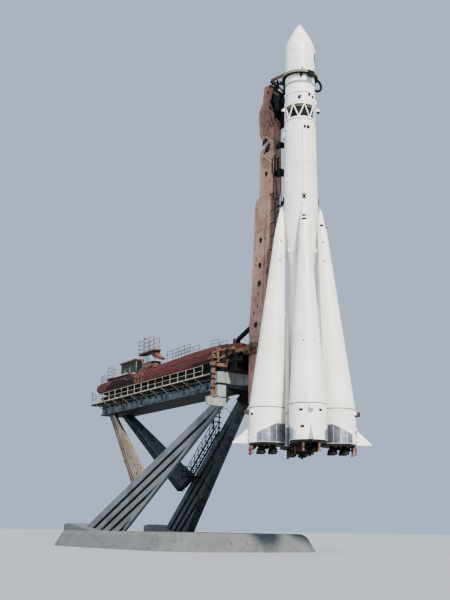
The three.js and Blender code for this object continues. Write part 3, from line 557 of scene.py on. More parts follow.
def boosters(sizes):
    """Skins, bare plates, hoods and seams of the four strap-on boosters, and a painted shadow line beside
    each duct.
    """
    for n, angle in enumerate(ANGLES, 1):
        foot = booster_axis(angle, SEAM)

        def centre(s, angle=angle):
            """This booster's axis at station s."""
            return booster_axis(angle, s)

        booster_skins(n, angle, foot, sizes.groove_depth)
        dark, plates, dull, hoods, duct, fitting = (Pile() for _ in range(6))
        dark.band(TAIL, SEAM - 0.055, SEAM + 0.005, 0.016, foot)
        for side in SIDES:
            booster_plates(plates, dull, angle, side, foot)
            for s, turn in ((3.12, 30), (1.85, 26)):
                if side < 0 or s > 2:
                    hoods.patch(TAIL, angle + side * turn, s, s + 0.22, 11, 0.12, foot, steps=3)
                    dark.patch(TAIL, angle + side * turn, s - 0.16, s, 10, 0.05, foot, steps=3)
            dark.patch(TANK, angle + side * 22, 8.5, 8.64, 5, 0.01, centre, steps=2)
            dark.patch(TANK, angle - 12, 19.3 + side * 0.17 - 0.085, 19.3 + side * 0.17 + 0.085, 56, 0.025,
                       centre)
            for s in (5.4, 6.9, 11.2):
                hoods.patch(TANK, angle + side * 158, s, s + 0.5, 10, 0.05, centre, steps=2)
            # Beside each duct runs a black strip, a painted shadow line
            for pile, turn, proud, wide in ((duct, 146, 0.05, 3.0), (dark, 151, 0.025, 2.0)):
                pile.grid([[at(angle + side * turn + share * wide * 1.4 / (TANK(s) + 0.4), TANK(s) + dr, s,
                               centre=centre)
                            for share, dr in ((-1, -SUNK), (-1, proud), (1, proud), (1, -SUNK))]
                           for s in np.linspace(SEAM + 0.3, 18.6, 16)])
        dark.patch(TANK, angle - 95, 19.12, 19.3, 50, 0.025, centre)
        fitting.grid([[at(angle, x, s, y, foot) for x, y in
                       ((1.45, -0.17), (1.825, -0.17), (1.825, 0.17), (1.45, 0.17))] for s in (3.09, 3.43)])
        for pile, name, finish in (
                (plates, "bare_plates", "aluminium_rolled_bare"),
                (dull, "darker_plates", "aluminium_rolled_darker"),
                (fitting, "fitting", "white_enamel_plain" if n == 4 else "brown_paint_sooted"),
                (dark, "seams", "black_paint_and_painted_shade"), (hoods, "hoods", "white_enamel_plain"),
                (duct, "duct", "cream_enamel_yellowed")):
            pile.piece(f"booster_{n}_{name}", finish)
        paint(**{f"booster_{n}_tail": "white_enamel_plain", f"booster_{n}_air_rudder": "white_enamel_plain"})


def bell(pile, centre):
    """An engine bell, mouth down: radius grows from the throat as the square root of depth. Its wall is
    drawn inwards, and two hoops stand round it."""
    throat, mouth, throat_s, wall = 0.14, 0.35, 0.544, 0.025
    outer = [(0.17, 0.68)] + [(throat + (mouth - throat) * sqrt(d), throat_s * (1 - d))
                              for d in np.linspace(0, 1, 9)]
    inner = [(r - wall, s) for r, s in outer[:0:-1]] + [(TIP, 0.51)]
    pile.revolve(outer + inner, centre, sides=40)
    for s in (0.12, 0.3):
        r = mouth * (1 - s * s)
        pile.revolve([(r - 0.02, s), (r + 0.018, s), (r + 0.018, s + 0.03), (r - 0.02, s + 0.03)], centre,
                     sides=32)


def engines():
    """Bells, pipes and frames of the five engines, and the paint of their steering chambers."""
    core_bells, core_blocks = 0.56, 0.709  # from the core's axis to its bells and steering bearings
    bells, block_out, block_y = 0.47, 1.029, 0.61  # the same from a booster's axis, outwards and aside
    for n, angle in enumerate((None,) + ANGLES):
        if angle is None:
            centre, radius, node = (0.0, 0.0), 1.05, "core_engine"
            mouths = [around(a, core_bells) for a in ANGLES]
            blocks = [around(a + 45, core_blocks) for a in ANGLES]
        else:
            centre, radius, node = around(angle, OFFSET), TAIL_R - 0.03, f"booster_{n}_engine"
            mouths = np.add([around(angle, bells * i, bells * j) for i in SIDES for j in SIDES], centre)
            blocks = np.add([around(angle, block_out, block_y * i) for i in SIDES], centre)
        pile = Pile()
        pile.revolve([(TIP, 0.66), (radius - 0.12, 0.66), (radius - 0.1, 0.62), (radius, 0.62), (radius, 0.8),
                      (TIP, 0.8)], centre, sides=72)
        for x, y in mouths:
            bell(pile, (x, y))
            pile.hose([(x, y, up(0.6)), (0.55 * x + 0.45 * centre[0], 0.55 * y + 0.45 * centre[1], up(0.42)),
                       (*centre, up(0.55))], 0.045, steps=4)
        for x, y in blocks:
            pile.post(x, y, 0.075, 0.075, up(0.32), up(0.66))
        pile.ball((*centre, up(0.5)), (0.2, 0.2, 0.16))
        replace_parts(pile.piece(f"{node}_bells", "steel_heat_blackened"), node)
    paint(**{node: "copper_alloy_dulled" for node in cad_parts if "steering_chamber" in node})


def boom_edges():
    """Flanges along the boom's plates and round their holes, and painted shade inside the holes."""
    low_y, high_y = 0.575, 0.415  # half widths: of the lower boom, and of the upper boom and the head
    edges, holes = Pile(), Pile()
    for y, radius, outline in (
            (low_y, 0.035, [(-5.25, 14.6), (-4.5, 20.0), (-3.95, 30.4), (-3.95, 30.95)]),
            (low_y, 0.035, [(-6.95, 18.4), (-6.8, 20.0), (-6.6, 22.6), (-6.36, 26.3), (-6.15, 30.3),
                            (-5.75, 30.97)]),
            (high_y, 0.03, [(-5.7, 31.05), (-5.62, 33.2), (-5.6, 35.55)]),
            (high_y, 0.03, [(-5.5, 36.9), (-5.65, 37.2), (-5.7, 38.0), (-5.86, 38.9), (-5.77, 39.67),
                            (-5.24, 40.3), (-5.08, 41.0), (-4.94, 41.75), (-4.69, 41.88), (-3.98, 41.56)]),
            (high_y, 0.03, [(-3.5, 31.1), (-3.5, 35.9)])):
        edges.lines([(x, y, z) for x, z in outline], radius)
    for z, x0, x1 in ((23.8, -6.55, -4.3), (27.9, -6.27, -4.08), (20.4, -6.77, -4.48)):
        edges.box(x0, x1, low_y, 0.6, z, z + 0.05)
    edges.box(-5.75, -3.7, high_y, 0.59, 30.93, 31.0)
    for x, z, r, half in ((-5.92, 19.3, 0.28, 0.58), (-5.4, 22.95, 0.28, 0.58), (-5.34, 24.6, 0.28, 0.58),
                          (-5.24, 26.9, 0.28, 0.58), (-4.6, 33.1, 0.27, 0.42), (-4.36, 41.1, 0.2, 0.42)):
        rim = [[(x + radius * c, y, z + radius * s) for c, s in circle(24)] for radius, y in
               ((r + 0.06, half), (r + 0.06, half + 0.02), (r, half + 0.02), (r, half - 0.03))]
        edges.grid(rim + rim[:1], caps=False)
        # A black bar of painted shade through each hole
        holes.bar((x, -half + 0.04, z), (x, half - 0.04, z), r - 0.004, 24)
    edges.mirror()
    edges.piece("boom_edges", "tan_oil_paint_faded")
    holes.piece("boom_hole_painted_shade", "black_paint_and_painted_shade")


def boom_seams():
    """Weld lines of the boom's plates and the plate across its head."""
    seams = Pile()
    for y, radius, line in (
            (0.425, 0.05, [(-4.74, 36.9), (-3.79, 38.31), (-3.55, 37.4)]),
            (0.425, 0.035, [(-4.95, 37.1), (-5.0, 38.4), (-4.7, 39.3), (-4.1, 39.0), (-3.8, 38.35)]),
            (0.585, 0.02, [(-4.9, 21.0), (-4.72, 23.9), (-5.1, 23.95)]),
            (0.585, 0.02, [(-4.62, 24.5), (-4.35, 29.6)]),
            (0.585, 0.02, [(-6.8, 18.3), (-5.3, 18.15)])):
        seams.lines([(x, y, z) for x, z in line], radius)
    seams.lines([(-3.45, 0.3, 36.9), (-3.45, 0.35, 38.2)], 0.025)
    seams.mirror()
    seams.lines([(-3.45, -0.3, 38.22), (-3.45, 0.36, 37.1)], 0.045)
    seams.piece("boom_seams", "rust_line_brown")
    front = Pile()
    front.extrude([(-0.31, 35.98), (0.33, 35.98), (0.33, 37.95), (-0.31, 38.42)], 0, -3.52, -3.455)
    front.piece("boom_head_front", "tan_oil_paint_faded")


def boom_links():
    """Links of the joint between upper boom and head, and the link at the boom's foot."""
    links = Pile()
    links.bar((-4.9, 0.42, 36.62), (-4.9, 0.62, 36.62), 0.2, 16)
    links.lines([(-4.76, 0.5, 36.8), (-3.5, 0.5, 35.93)], 0.05)
    links.lines([(-4.22, 0.5, 36.05), (-5.0, 0.5, 35.13)], 0.07)
    links.lines([(-4.95, 0.5, 35.02), (-3.6, 0.5, 33.86)], 0.075)
    links.mirror()
    links.lines([(-3.44, -0.5, 35.93), (-3.44, 0.4, 35.6)], 0.05)
    links.lines([(-3.4, -0.5, 34.5), (-3.4, 0.08, 35.12)], 0.055)
    links.lines([(-3.42, 0.2, 34.4), (-3.42, 0.23, 33.2)], 0.035)
    links.ball((-3.42, -0.09, 34.45), (0.1, 0.14, 0.14))
    links.lines([(-7.3, -0.66, 17.8), (-6.5, -0.7, 17.3), (-5.9, -0.66, 17.75)], 0.06)
    links.ball((-6.6, -0.72, 17.7), (0.2, 0.12, 0.16))
    links.piece("boom_joint_links", "grey_paint_rust_bled")


def boom_black_parts_and_shade():
    """Black sheets of painted shade over the boom's recesses, the head's hollow and its gaps, and the boom's
    black ladder, rests, hoses and rods.
    """
    black = Pile()
    shaded_hollow = [(-5.2, 36.95), (-3.6, 36.1), (-3.56, 38.6), (-4.25, 39.4), (-3.9, 40.8), (-4.15, 41.3),
              (-4.8, 41.0), (-4.95, 40.2), (-5.45, 39.55), (-5.5, 38.9), (-5.35, 38.0), (-5.3, 37.2)]
    # Black plates of painted shade over the joint's recesses, and a black sheet of painted shade inside the
    # head's hollow
    for y0, y1, outline in (
            (0.42, 0.45, [(-5.2, 36.5), (-5.25, 36.0), (-4.75, 36.2), (-4.3, 36.4), (-4.6, 36.62)]),
            (0.42, 0.45, [(-4.85, 35.3), (-4.3, 35.1), (-3.95, 35.8), (-4.25, 35.95)]),
            (0.42, 0.45, [(-3.75, 34.25), (-3.52, 34.35), (-3.52, 32.7), (-3.72, 32.95)]),
            (0.29, 0.32, shaded_hollow)):
        black.extrude(outline, 1, y0, y1)
    black.bar((-4.48, 0.42, 35.37), (-4.48, 0.56, 35.37), 0.14, 14)
    black.lines([(-3.47, 0.43, 30.2), (-3.47, 0.43, 32.7)], 0.03)
    black.mirror()
    # Black bars of painted shade round the hollow's upper edge
    for y, radius in ((0, 0.12), (-0.2, 0.1), (0.2, 0.1)):
        for (x0, z0), (x1, z1) in zip(shaded_hollow[6:], shaded_hollow[7:] + shaded_hollow[:1]):
            black.lines([(x0, y, z0), (x1, y, z1)], radius)
    # Black boxes: rests, and painted shade filling gaps of the head and by the clamp
    black.boxes((-3.53, -3.46, -0.34, 0.12, 32.6, 33.14), (-4.4, -4.36, -0.33, 0.33, 33.12, 34.48),
                (-3.6, -2.95, -0.2, 0.25, 38.9, 39.95), (-2.75, -2.62, -0.05, 0.45, 29.55, 29.95),
                (-3.55, -2.87, -0.135, 0.135, 32.53, 32.97), (-2.98, -2.73, -0.27, 0.27, 32.42, 33.08),
                (-3.6, -2.87, -0.135, 0.135, 35.26, 35.54), (-2.98, -2.73, -0.27, 0.27, 35.15, 35.65),
                (-3.52, -2.93, 0.325, 0.42, 37.26, 39.94), (-4.1, -3.45, -0.28, 0.3, 38.2, 39.2),
                (-2.45, -2.3, -0.2, 0.3, 39.35, 39.75),
                (1.44, 1.715, -0.285, 0.285, up(CLAMP) - 0.315, up(CLAMP) + 0.19))
    black.extrude([(-4.2, 40.1), (-3.2, 39.7), (-2.75, 39.75), (-2.8, 40.5), (-3.6, 41.2), (-4.1, 41.3)], 1,
                  -0.22, 0.3)
    ladder_y = (-0.33, 0.3)
    for y in ladder_y:
        black.lines([(-3.4, y, 25.6), (-3.3, y, 30.45)], 0.045)
    for k in range(12):
        z = 25.8 + 0.4 * k
        black.lines([(-3.4, ladder_y[0], z), (-3.38, ladder_y[1], z + (0.4 if k % 2 else 0.0))], 0.035)
        if k % 3 == 0:
            for y in ladder_y:
                black.bar((-4.2, y, z), (-3.38, y, z), 0.04, 6)
    black.bar((-3.6, 0.1, 29.75), (-2.7, 0.2, 29.75), 0.07)
    black.bar((-3.0, 0.05, 39.85), (-2.4, 0.05, 39.55), 0.12, 12)
    black.lines([(-4.05, -0.3, 42.1), (-3.4, -0.3, 41.5), (-3.3, -0.1, 41.2)], 0.12)
    black.lines([(-3.43, 0.0, 42.05), (-3.2, 0.0, 41.15)], 0.1)
    black.lines([(-2.66, 0.05, 41.7), (-2.4, 0.05, 41.0), (-2.5, 0.05, 40.2)], 0.12)
    black.lines([(-3.04, 0.0, 41.8), (-2.6, 0.0, 41.2)], 0.07)
    black.hose([(-3.44, -0.46, 32.7), (-3.42, -0.2, 32.05), (-3.42, -0.1, 31.1), (-3.44, -0.05, 30.2)], 0.035)
    black.hose([(-3.6, -0.3, 41.7), (-3.0, -0.5, 41.3), (-2.4, -0.7, 41.0), (-1.9, -0.95, 40.75)], 0.05)
    turns = np.radians(np.linspace(-132, 132, 24))
    black.lines([(0, 1.83 + 0.54 * cos(t), up(CLAMP) + 0.54 * sin(t)) for t in turns], 0.115, 10)
    black.piece("boom_black_parts_and_shade", "black_paint_and_painted_shade")


def clamp():
    """Links and two-part band of the clamp ring, olive on its face and black as painted shade underneath, and
    the paint of boom and clamp.
    """
    brown = Pile()
    brown.lines([(-0.2, 1.43, 40.9), (-3.55, 0.56, 42.08)], 0.035)
    brown.mirror()
    brown.lines([(-3.2, 0.0, 41.3), (-2.55, 0.0, 40.55)], 0.1)
    brown.lines([(-3.75, -0.25, 41.0), (-2.8, -0.25, 40.2)], 0.1)
    brown.lines([(-4.0, -0.33, 39.85), (-3.73, -0.33, 38.95)], 0.06)
    brown.piece("clamp_links", "brown_paint_rusted")

    # The band's black underside and the box below it are painted shade
    olive, under = Pile(), Pile()
    low, high = CLAMP, CLAMP + 0.24
    face = ((1.5, high), (1.5, high + 0.03), (1.585, high + 0.02), (1.585, low + 0.03))
    underside = ((1.31, low - 0.02), (1.31, low + 0.02), (1.572, low + 0.02), (1.572, low - 0.03))
    for pile, rim in ((olive, face), (under, underside)):
        pile.grid([[at(t, r, s) for r, s in rim] for t in np.linspace(-165, 165, 96)])
    olive.bar(at(-29, 1.5, high), at(-29, 1.5, high + 0.26), 0.08, 10)
    olive.bar(at(35, 1.5, high), at(35, 1.5, high + 0.2), 0.07, 10)
    olive.piece("clamp_band_face", "olive_paint_dull")
    under.box(1.1, 1.28, -0.82, -0.66, up(low) - 0.32, up(low) - 0.05)
    under.piece("clamp_band_painted_shade", "black_paint_and_painted_shade")
    # The hinge frame is a black box of painted shade under the carriage; the boom's head takes a darker tan
    # as painted shade
    paint(boom_lower="tan_oil_paint_faded", boom_upper="tan_oil_paint_faded",
          boom_head="tan_paint_with_painted_shade", clamp_arms="brown_paint_rusted", boom_ram="black_paint_and_painted_shade",
          hinge_carriage="brown_paint_rusted", hinge_frame="black_paint_and_painted_shade")


def boom():
    """Everything on the erector boom and its clamp."""
    boom_edges()
    boom_seams()
    boom_links()
    boom_black_parts_and_shade()
    clamp()


def rail(pile, path, sizes, low=0.0, height=None, rails=(1.0, 0.5), pitch=None, radius=None):
    """Posts and rails along a path of (x, y, z) floor points. The posts stand about a pitch apart, from
    `low` to `height` above the floor, and the rails at shares of that height."""
    height = height or sizes.rail_height
    radius = radius or sizes.rail_radius
    for a, b in zip(np.array(path, float), np.array(path[1:], float)):
        count = max(1, round(float(np.linalg.norm(b - a)) / (pitch or sizes.post_pitch)))
        for k in range(count + 1):
            p = a + (b - a) * k / count
            pile.bar(p + (0, 0, low), p + (0, 0, height), radius, 6)
        for share in rails:
            pile.bar(a + (0, 0, height * share), b + (0, 0, height * share), radius, 6)


# Sections along the wagon hull: x, share of its half width, lower and upper edge
HULL_WIDE = 1.6
HULL_X, HULL_SHARE, HULL_LOW, HULL_TOP = zip(
    (-38.1, 0.66, 17.1, 18.0), (-37.6, 0.86, 16.9, 18.1), (-36.6, 1, 16.6, 18.15), (-34.0, 1, 16.35, 18.15),
    (-28.4, 1, 16.3, 18.15), (-24.8, 1, 16.3, 18.33), (-21.5, 1, 16.3, 18.42), (-16.5, 1, 16.3, 18.57),
    (-13.0, 1, 16.3, 18.55), (-11.0, 1, 16.3, 18.4))


def on_hull(x, across, rise, proud=0.0):
    """Point on the hull's far side: half width share `across`, height share `rise` of the section at x.
    It is moved `proud` metres out and half as far up."""
    wide = HULL_WIDE * np.interp(x, HULL_X, HULL_SHARE)
    low, top = np.interp(x, HULL_X, HULL_LOW), np.interp(x, HULL_X, HULL_TOP)
    return (x, across * wide + proud, low + rise * (top - low) + proud * 0.5)


def walkway_and_rails(sizes):
    """Railings and edges of the walkway, and the thin railings and ladder of the decks."""
    floor, edge, deck, roof = 15.35, 2.45, 18.44, 20.2
    cream = Pile()
    rail(cream, [(-34.9, edge, floor), (-11.8, edge, floor)], sizes, pitch=1.54, radius=0.023)
    cream.box(-36.42, -10.38, 2.42, 2.53, 15.3, 15.4)
    for x in np.arange(-35.0, -11.5, 2.2):
        cream.bar((x, edge, 15.22), (x, 1.72, 14.72), 0.045, 6)
        cream.box(x - 0.04, x + 0.04, 1.7, 2.5, 15.12, 15.19)
    cream.mirror()
    cream.box(-36.44, -36.33, -2.53, 2.53, 15.3, 15.4)
    cream.piece("walkway_railings", "cream_paint_flaking")

    thin = Pile()
    rail(thin, [(-37.9, 0.7, 18.05), (-36.3, 0.95, 18.15)], sizes, height=0.8, rails=(1.0, 0.6, 0.25))
    rail(thin, [(-22.3, 0.5, 18.42), (-17.5, 0.5, 18.54)], sizes, low=-0.1, height=1.0, rails=THIRDS)
    rail(thin, [(-13.6, 0.5, 18.5), (-12.2, 0.5, 18.45)], sizes, low=-0.1, height=0.65)
    thin.lines([(-28.1, 0.25, 18.2), (-28.1, 0.25, 20.1)], 0.035)
    thin.mirror()
    rail(thin, [(-36.3, -edge, 15.4), (-36.3, edge, 15.4)], sizes, rails=(1.0, 0.7, 0.4))
    rail(thin, [(-36.3, -edge, 15.4), (-35.2, -edge, 15.4)], sizes)
    rail(thin, [(-36.1, 1.25, deck), (-36.1, -0.75, deck), (-34.5, -0.75, deck)], sizes, height=1.2,
         rails=THIRDS)
    rail(thin, [(-36.1, 1.25, deck), (-30.5, 1.25, deck)], sizes, height=1.2, rails=THIRDS)
    rail(thin, [(-37.9, 0.7, 18.05), (-37.9, -0.7, 18.05)], sizes, height=0.8, rails=(1.0, 0.6, 0.25))
    rail(thin, [(-25.2, -0.62, roof), (-28.58, -0.62, roof), (-28.58, 0.08, roof), (-25.2, 0.08, roof)],
         sizes, height=1.35, rails=THIRDS)
    for x, y, z in ((-28.6, 0.06, 21.97), (-36.3, -edge, 16.62)):
        thin.ball((x, y, z), (0.12, 0.12, 0.13))
    thin.lines([(-27.6, -0.5, 18.85), (-28.4, -0.6, 20.1)], 0.04)
    thin.lines([(-25.4, -0.3, 20.1), (-24.6, -0.05, 19.3)], 0.04)
    thin.lines([(-25.5, -0.62, 20.1), (-24.9, -0.2, 19.25)], 0.035)
    for z in 18.5 + 0.3 * np.arange(6):
        thin.bar((-28.1, -0.25, z), (-28.1, 0.25, z), 0.025, 6)
    thin.piece("deck_railings", "brown_paint_rusted")


def hull_ribs():
    """Ribs and rubbing strakes of the wagon hull."""
    ribs = Pile()
    for across, rise, radius in ((0.965, 0.55, 0.035), (0.845, 0.735, 0.025), (1.0, 0.2, 0.05)):
        ribs.lines([on_hull(x, across, rise) for x in np.linspace(-37.9, -11.05, 40)], radius)
    for x in np.arange(-36.0, -11.4, 2.3):
        ribs.lines([on_hull(x, across, rise, 0.01) for across, rise in
                    ((0.9, 0.085), (1, 0.17), (1, 0.45), (0.93, 0.65), (0.76, 0.82), (0.54, 0.93))], 0.028)
    ribs.mirror()
    ribs.piece("hull_ribs", "red_lead_paint_dull")


def hull_shade():
    """Black sheets of painted shade under the hull, the cabin and service decks, the walkway's overhang and
    the girder, and painted shadow on the hull's sides.
    """
    shade, shade_coat = Pile(), Pile()
    # Black sheets of painted shade along the hull's lower edge and under the walkway's overhang, mirrored;
    # then under hull, cabin deck, service deck and girder
    lower_edge = ((0.75, -0.02, 0.0), (0.81, -0.02, 0.02), (1, 0.145, 0.03), (1, 0.2, 0.02),
                  (1, 0.2, -0.02), (0.75, 0.03, -0.02))
    shade.grid([[on_hull(x, *point) for point in lower_edge] for x in np.linspace(-36.4, -11.1, 24)])
    shade.box(-36.3, -10.5, 1.72, 2.4, 15.15, 15.195)
    shade.mirror()
    shade.boxes((-36.4, -11.2, -1.27, 1.27, 15.37, 16.29), (-36.1, -30.5, -0.76, 1.26, 17.95, 18.315),
                (-28.55, -24.85, -0.64, 0.09, 19.98, 20.075), (-35.5, -9.75, -1.62, 1.62, 14.03, 14.056))
    shade.piece("wagon_painted_shade", "black_paint_and_painted_shade")

    # Painted shadow on the hull's sides: under the cabin deck, fading at both ends, and low down near the
    # carriage
    low_rise, ramp, thick = 0.17, 1.2, 0.03
    for x0, x1, fades, rises in ((-34.9, -27.3, True, (0.17, 0.45, 0.65, 0.8)),
                                 (-16.2, -11.1, False, (0.17, 0.3))):
        rows = []
        for x in np.linspace(x0, x1, 14):
            share = min(1.0, (x - x0) / ramp, (x1 - x) / ramp if fades else 1.0)
            here = [low_rise + (r - low_rise) * share for r in rises]
            skin = [(np.interp(r, (0.0, 0.085, 0.17, 0.45, 0.65, 0.82), (0.6, 0.9, 1, 1, 0.93, 0.76)), r)
                    for r in here]
            rows.append([on_hull(x, *point, thick) for point in skin]
                        + [on_hull(x, *point, -thick) for point in skin[::-1]])
        shade_coat.grid(rows)
    shade_coat.mirror()
    shade_coat.piece("hull_side_painted_shadow", "red_lead_painted_shadow")


def hull_machinery():
    """Machinery under the hull, black so that it also stands as painted shade there, and pipes over its
    sides.
    """
    lumps, gear = Pile(), Pile()
    # Black boxes of machinery under the hull, partly painted shade
    for x, w, z0, z1 in ((-35.4, 0.3, 15.37, 16.2), (-33.2, 0.5, 15.37, 15.9), (-30.4, 0.5, 15.6, 16.3),
                         (-28.2, 0.7, 15.37, 16.1), (-25.6, 0.35, 15.6, 16.25), (-22.5, 0.6, 15.37, 15.95),
                         (-20.2, 0.3, 15.6, 16.2), (-16.4, 0.5, 15.37, 16.0), (-13.8, 0.6, 15.37, 16.3)):
        gear.box(x - w, x + w, 1.05, 1.4, z0, z1)
        gear.bar((x, 1.45, 15.36), (x, 1.45, z0 + 0.4), 0.07)
    lumps.box(-29.9, -29.3, 0.85, 1.3, 18.0, 18.3)
    lumps.box(-23.9, -23.5, 0.85, 1.25, 18.0, 18.4)
    for x in (-27.2, -26.5, -25.7):
        lumps.lines([(x, 0.6, 18.7), (x, 1.25, 18.0), (x, 1.58, 17.4), (x, 1.64, 16.6)], 0.045)
    gear.mirror()
    lumps.mirror()
    for pile, radius, path in (
            (gear, 0.06, [(-35.5, 1.5, 15.7), (-32.5, 1.6, 15.9), (-29.5, 1.55, 15.7), (-27.0, 1.6, 15.95),
                          (-24.5, 1.5, 15.75)]),
            (gear, 0.05, [(-24.0, 1.5, 16.05), (-19.0, 1.6, 15.75), (-15.0, 1.55, 15.95),
                          (-11.5, 1.5, 15.7)]),
            (lumps, 0.05, [(-30.0, 1.52, 17.55), (-28.8, 1.64, 17.3), (-27.6, 1.62, 17.5),
                           (-26.4, 1.62, 17.2), (-25.3, 1.6, 17.35)])):
        for side in SIDES:
            pile.hose(np.array(path) * (1, side, 1), radius)
    lumps.piece("hull_machinery", "brown_paint_rusted", bevel=0.03)
    gear.piece("underfloor_machinery_and_shade", "black_paint_and_painted_shade")


def cabin():
    """Posts, windows, sills and roof edges of the cabin."""
    floor, top = 18.46, 19.88
    bays = np.linspace(-34.25, -30.65, 5)
    frames, sills, posts, glass, roof = (Pile() for _ in range(5))
    for y in (0.085, 0.865):
        for x in bays:
            posts.post(x, y, 0.035, 0.03, floor, top)
    for x in (-34.315, -30.585):
        frames.post(x, 0.12, 0.02, 0.022, floor, top)
        posts.post(x, 0.83, 0.02, 0.022, floor, top)
    for pile, x0, x1, y0, y1 in ((frames, -34.3, -30.38, -0.83, -0.78), (frames, -34.3, -30.38, 1.28, 1.33),
                                 (frames, -30.42, -30.37, -0.83, 1.33), (sills, -36.22, -34.3, -0.83, -0.78),
                                 (sills, -36.22, -34.3, 1.28, 1.33), (sills, -36.23, -36.18, -0.83, 1.33)):
        pile.box(x0, x1, y0, y1, 18.31, floor)
    for x in (-33.26, -32.03):
        for y in (0.0525, 0.8975):
            frames.post(x, y, 0.03, 0.0075, floor, 19.3)
    sills.box(-27.6, -25.5, -0.6, 0.5, 18.42, 18.93)
    sills.box(-27.7, -25.2, -0.65, 0.55, 18.93, 19.0)
    for x in (-27.0, -26.1):
        sills.box(x - 0.1, x + 0.1, -0.63, -0.59, 18.5, 18.85)
    sills.piece("deck_box", "brown_paint_rusted", bevel=0.02)
    frames.piece("cabin_frame", "cream_paint_flaking")
    posts.piece("cabin_posts", "green_paint_faded")
    for x0, x1 in zip(bays, bays[1:]):
        for y0, y1 in ((0.082, 0.1), (0.85, 0.868)):
            glass.box(x0 + 0.06, x1 - 0.06, y0, y1, 18.55, 19.2)
            glass.box(x0 + 0.25, x1 - 0.2, y0, y1, 19.38, 19.7)
    for x in (-34.318, -30.6):
        for y0, y1 in ((0.14, 0.45), (0.5, 0.81)):
            glass.box(x, x + 0.018, y0, y1, 18.6, 19.8)
    glass.piece("cabin_windows", "window_glass_dusty", smooth=False)
    for x0, x1, y0, y1 in ((-34.47, -30.43, -0.075, -0.045), (-34.47, -30.43, 0.995, 1.025),
                           (-30.46, -30.43, -0.07, 1.02), (-34.47, -34.44, -0.07, 1.02)):
        roof.box(x0, x1, y0, y1, top, 20.06)
    roof.piece("cabin_roof_edge", "rust_line_brown")
    paint(cabin="green_paint_faded", cabin_deck="cream_paint_flaking")


def service_deck():
    """Plates, posts, edges and bracket of the raised service deck."""
    edges, deck, bracket = Pile(), Pile(), Pile()
    for y0, y1 in ((-0.68, -0.655), (0.105, 0.13)):
        edges.box(-28.62, -24.78, y0, y1, 20.07, 20.22)
    edges.piece("roof_edges", "brown_paint_rusted")
    bracket.extrude([(-26.4, 20.08), (-26.1, 19.75), (-25.4, 19.35), (-24.0, 18.93), (-23.8, 19.06),
                     (-24.75, 19.5), (-25.05, 19.85), (-25.1, 20.08)], 1, -0.42, 0.12)
    bracket.lines([(-23.9, -0.3, 19.05), (-22.6, -0.3, 19.2)], 0.03)
    bracket.piece("service_deck_bracket", "rust_line_brown")
    deck.box(-28.6, -24.8, -0.65, 0.1, 20.08, 20.2)
    for x, y in ((-27.3, -0.35), (-27.3, 0.0), (-25.7, -0.1)):
        deck.bar((x, y, 18.6), (x, y, 20.1), 0.035)
    deck.extrude([(-27.9, 18.25), (-25.1, 18.4), (-25.1, 18.75), (-27.9, 18.8)], 1, -0.48, 0.48)
    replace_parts(deck.piece("service_deck_plates", "brown_paint_rusted"), "service_deck")


def wagon(sizes):
    """Walkway, hull, cabin and decks of the wagon."""
    walkway_and_rails(sizes)
    hull_ribs()
    hull_shade()
    hull_machinery()
    cabin()
    service_deck()
    paint(wagon_hull="red_lead_paint_dull", walkway="black_paint_and_painted_shade")


def beam_seams():
    """Seams of girder and crosshead, a strip of painted shade under the girder's top flange, and the dirt
    that runs from it.
    """
    dark = Pile()
    # A black strip of painted shade under the girder's top flange
    dark.box(-35.4, -9.95, 1.49, 1.52, 14.9, 15.05)
    for k in range(84):
        drop = 0.06 + 0.5 * abs(sin(2.3 * k) * sin(0.71 * k)) ** 1.5
        dark.post(-35.25 + 0.3 * k, 1.501, 0.08 + 0.07 * sin(1.7 * k), 0.011, 14.92 - drop, 14.92)
    for z0, z1 in ((13.08, 13.16), (14.22, 14.42)):
        dark.box(-9.03, -8.985, 1.62, 2.52, z0, z1)
        dark.box(-9.38, -9.02, 2.5, 2.525, z0, z1)
    for z in (15.76, 15.13, 14.68, 13.88):
        dark.bar((*JACK, z - 0.07), (*JACK, z + 0.07), 0.235, 20)
    dark.mirror()
    for y in (-1.7, -0.7, 0.25, 1.2, 2.0):
        dark.box(-9.01, -8.985, y - 0.02, y + 0.02, 14.42, 15.38)
    dark.box(-9.0, -8.985, 0.3, 2.4, 14.38, 14.42)
    dark.piece("stand_seams_and_shade", "black_paint_and_painted_shade")


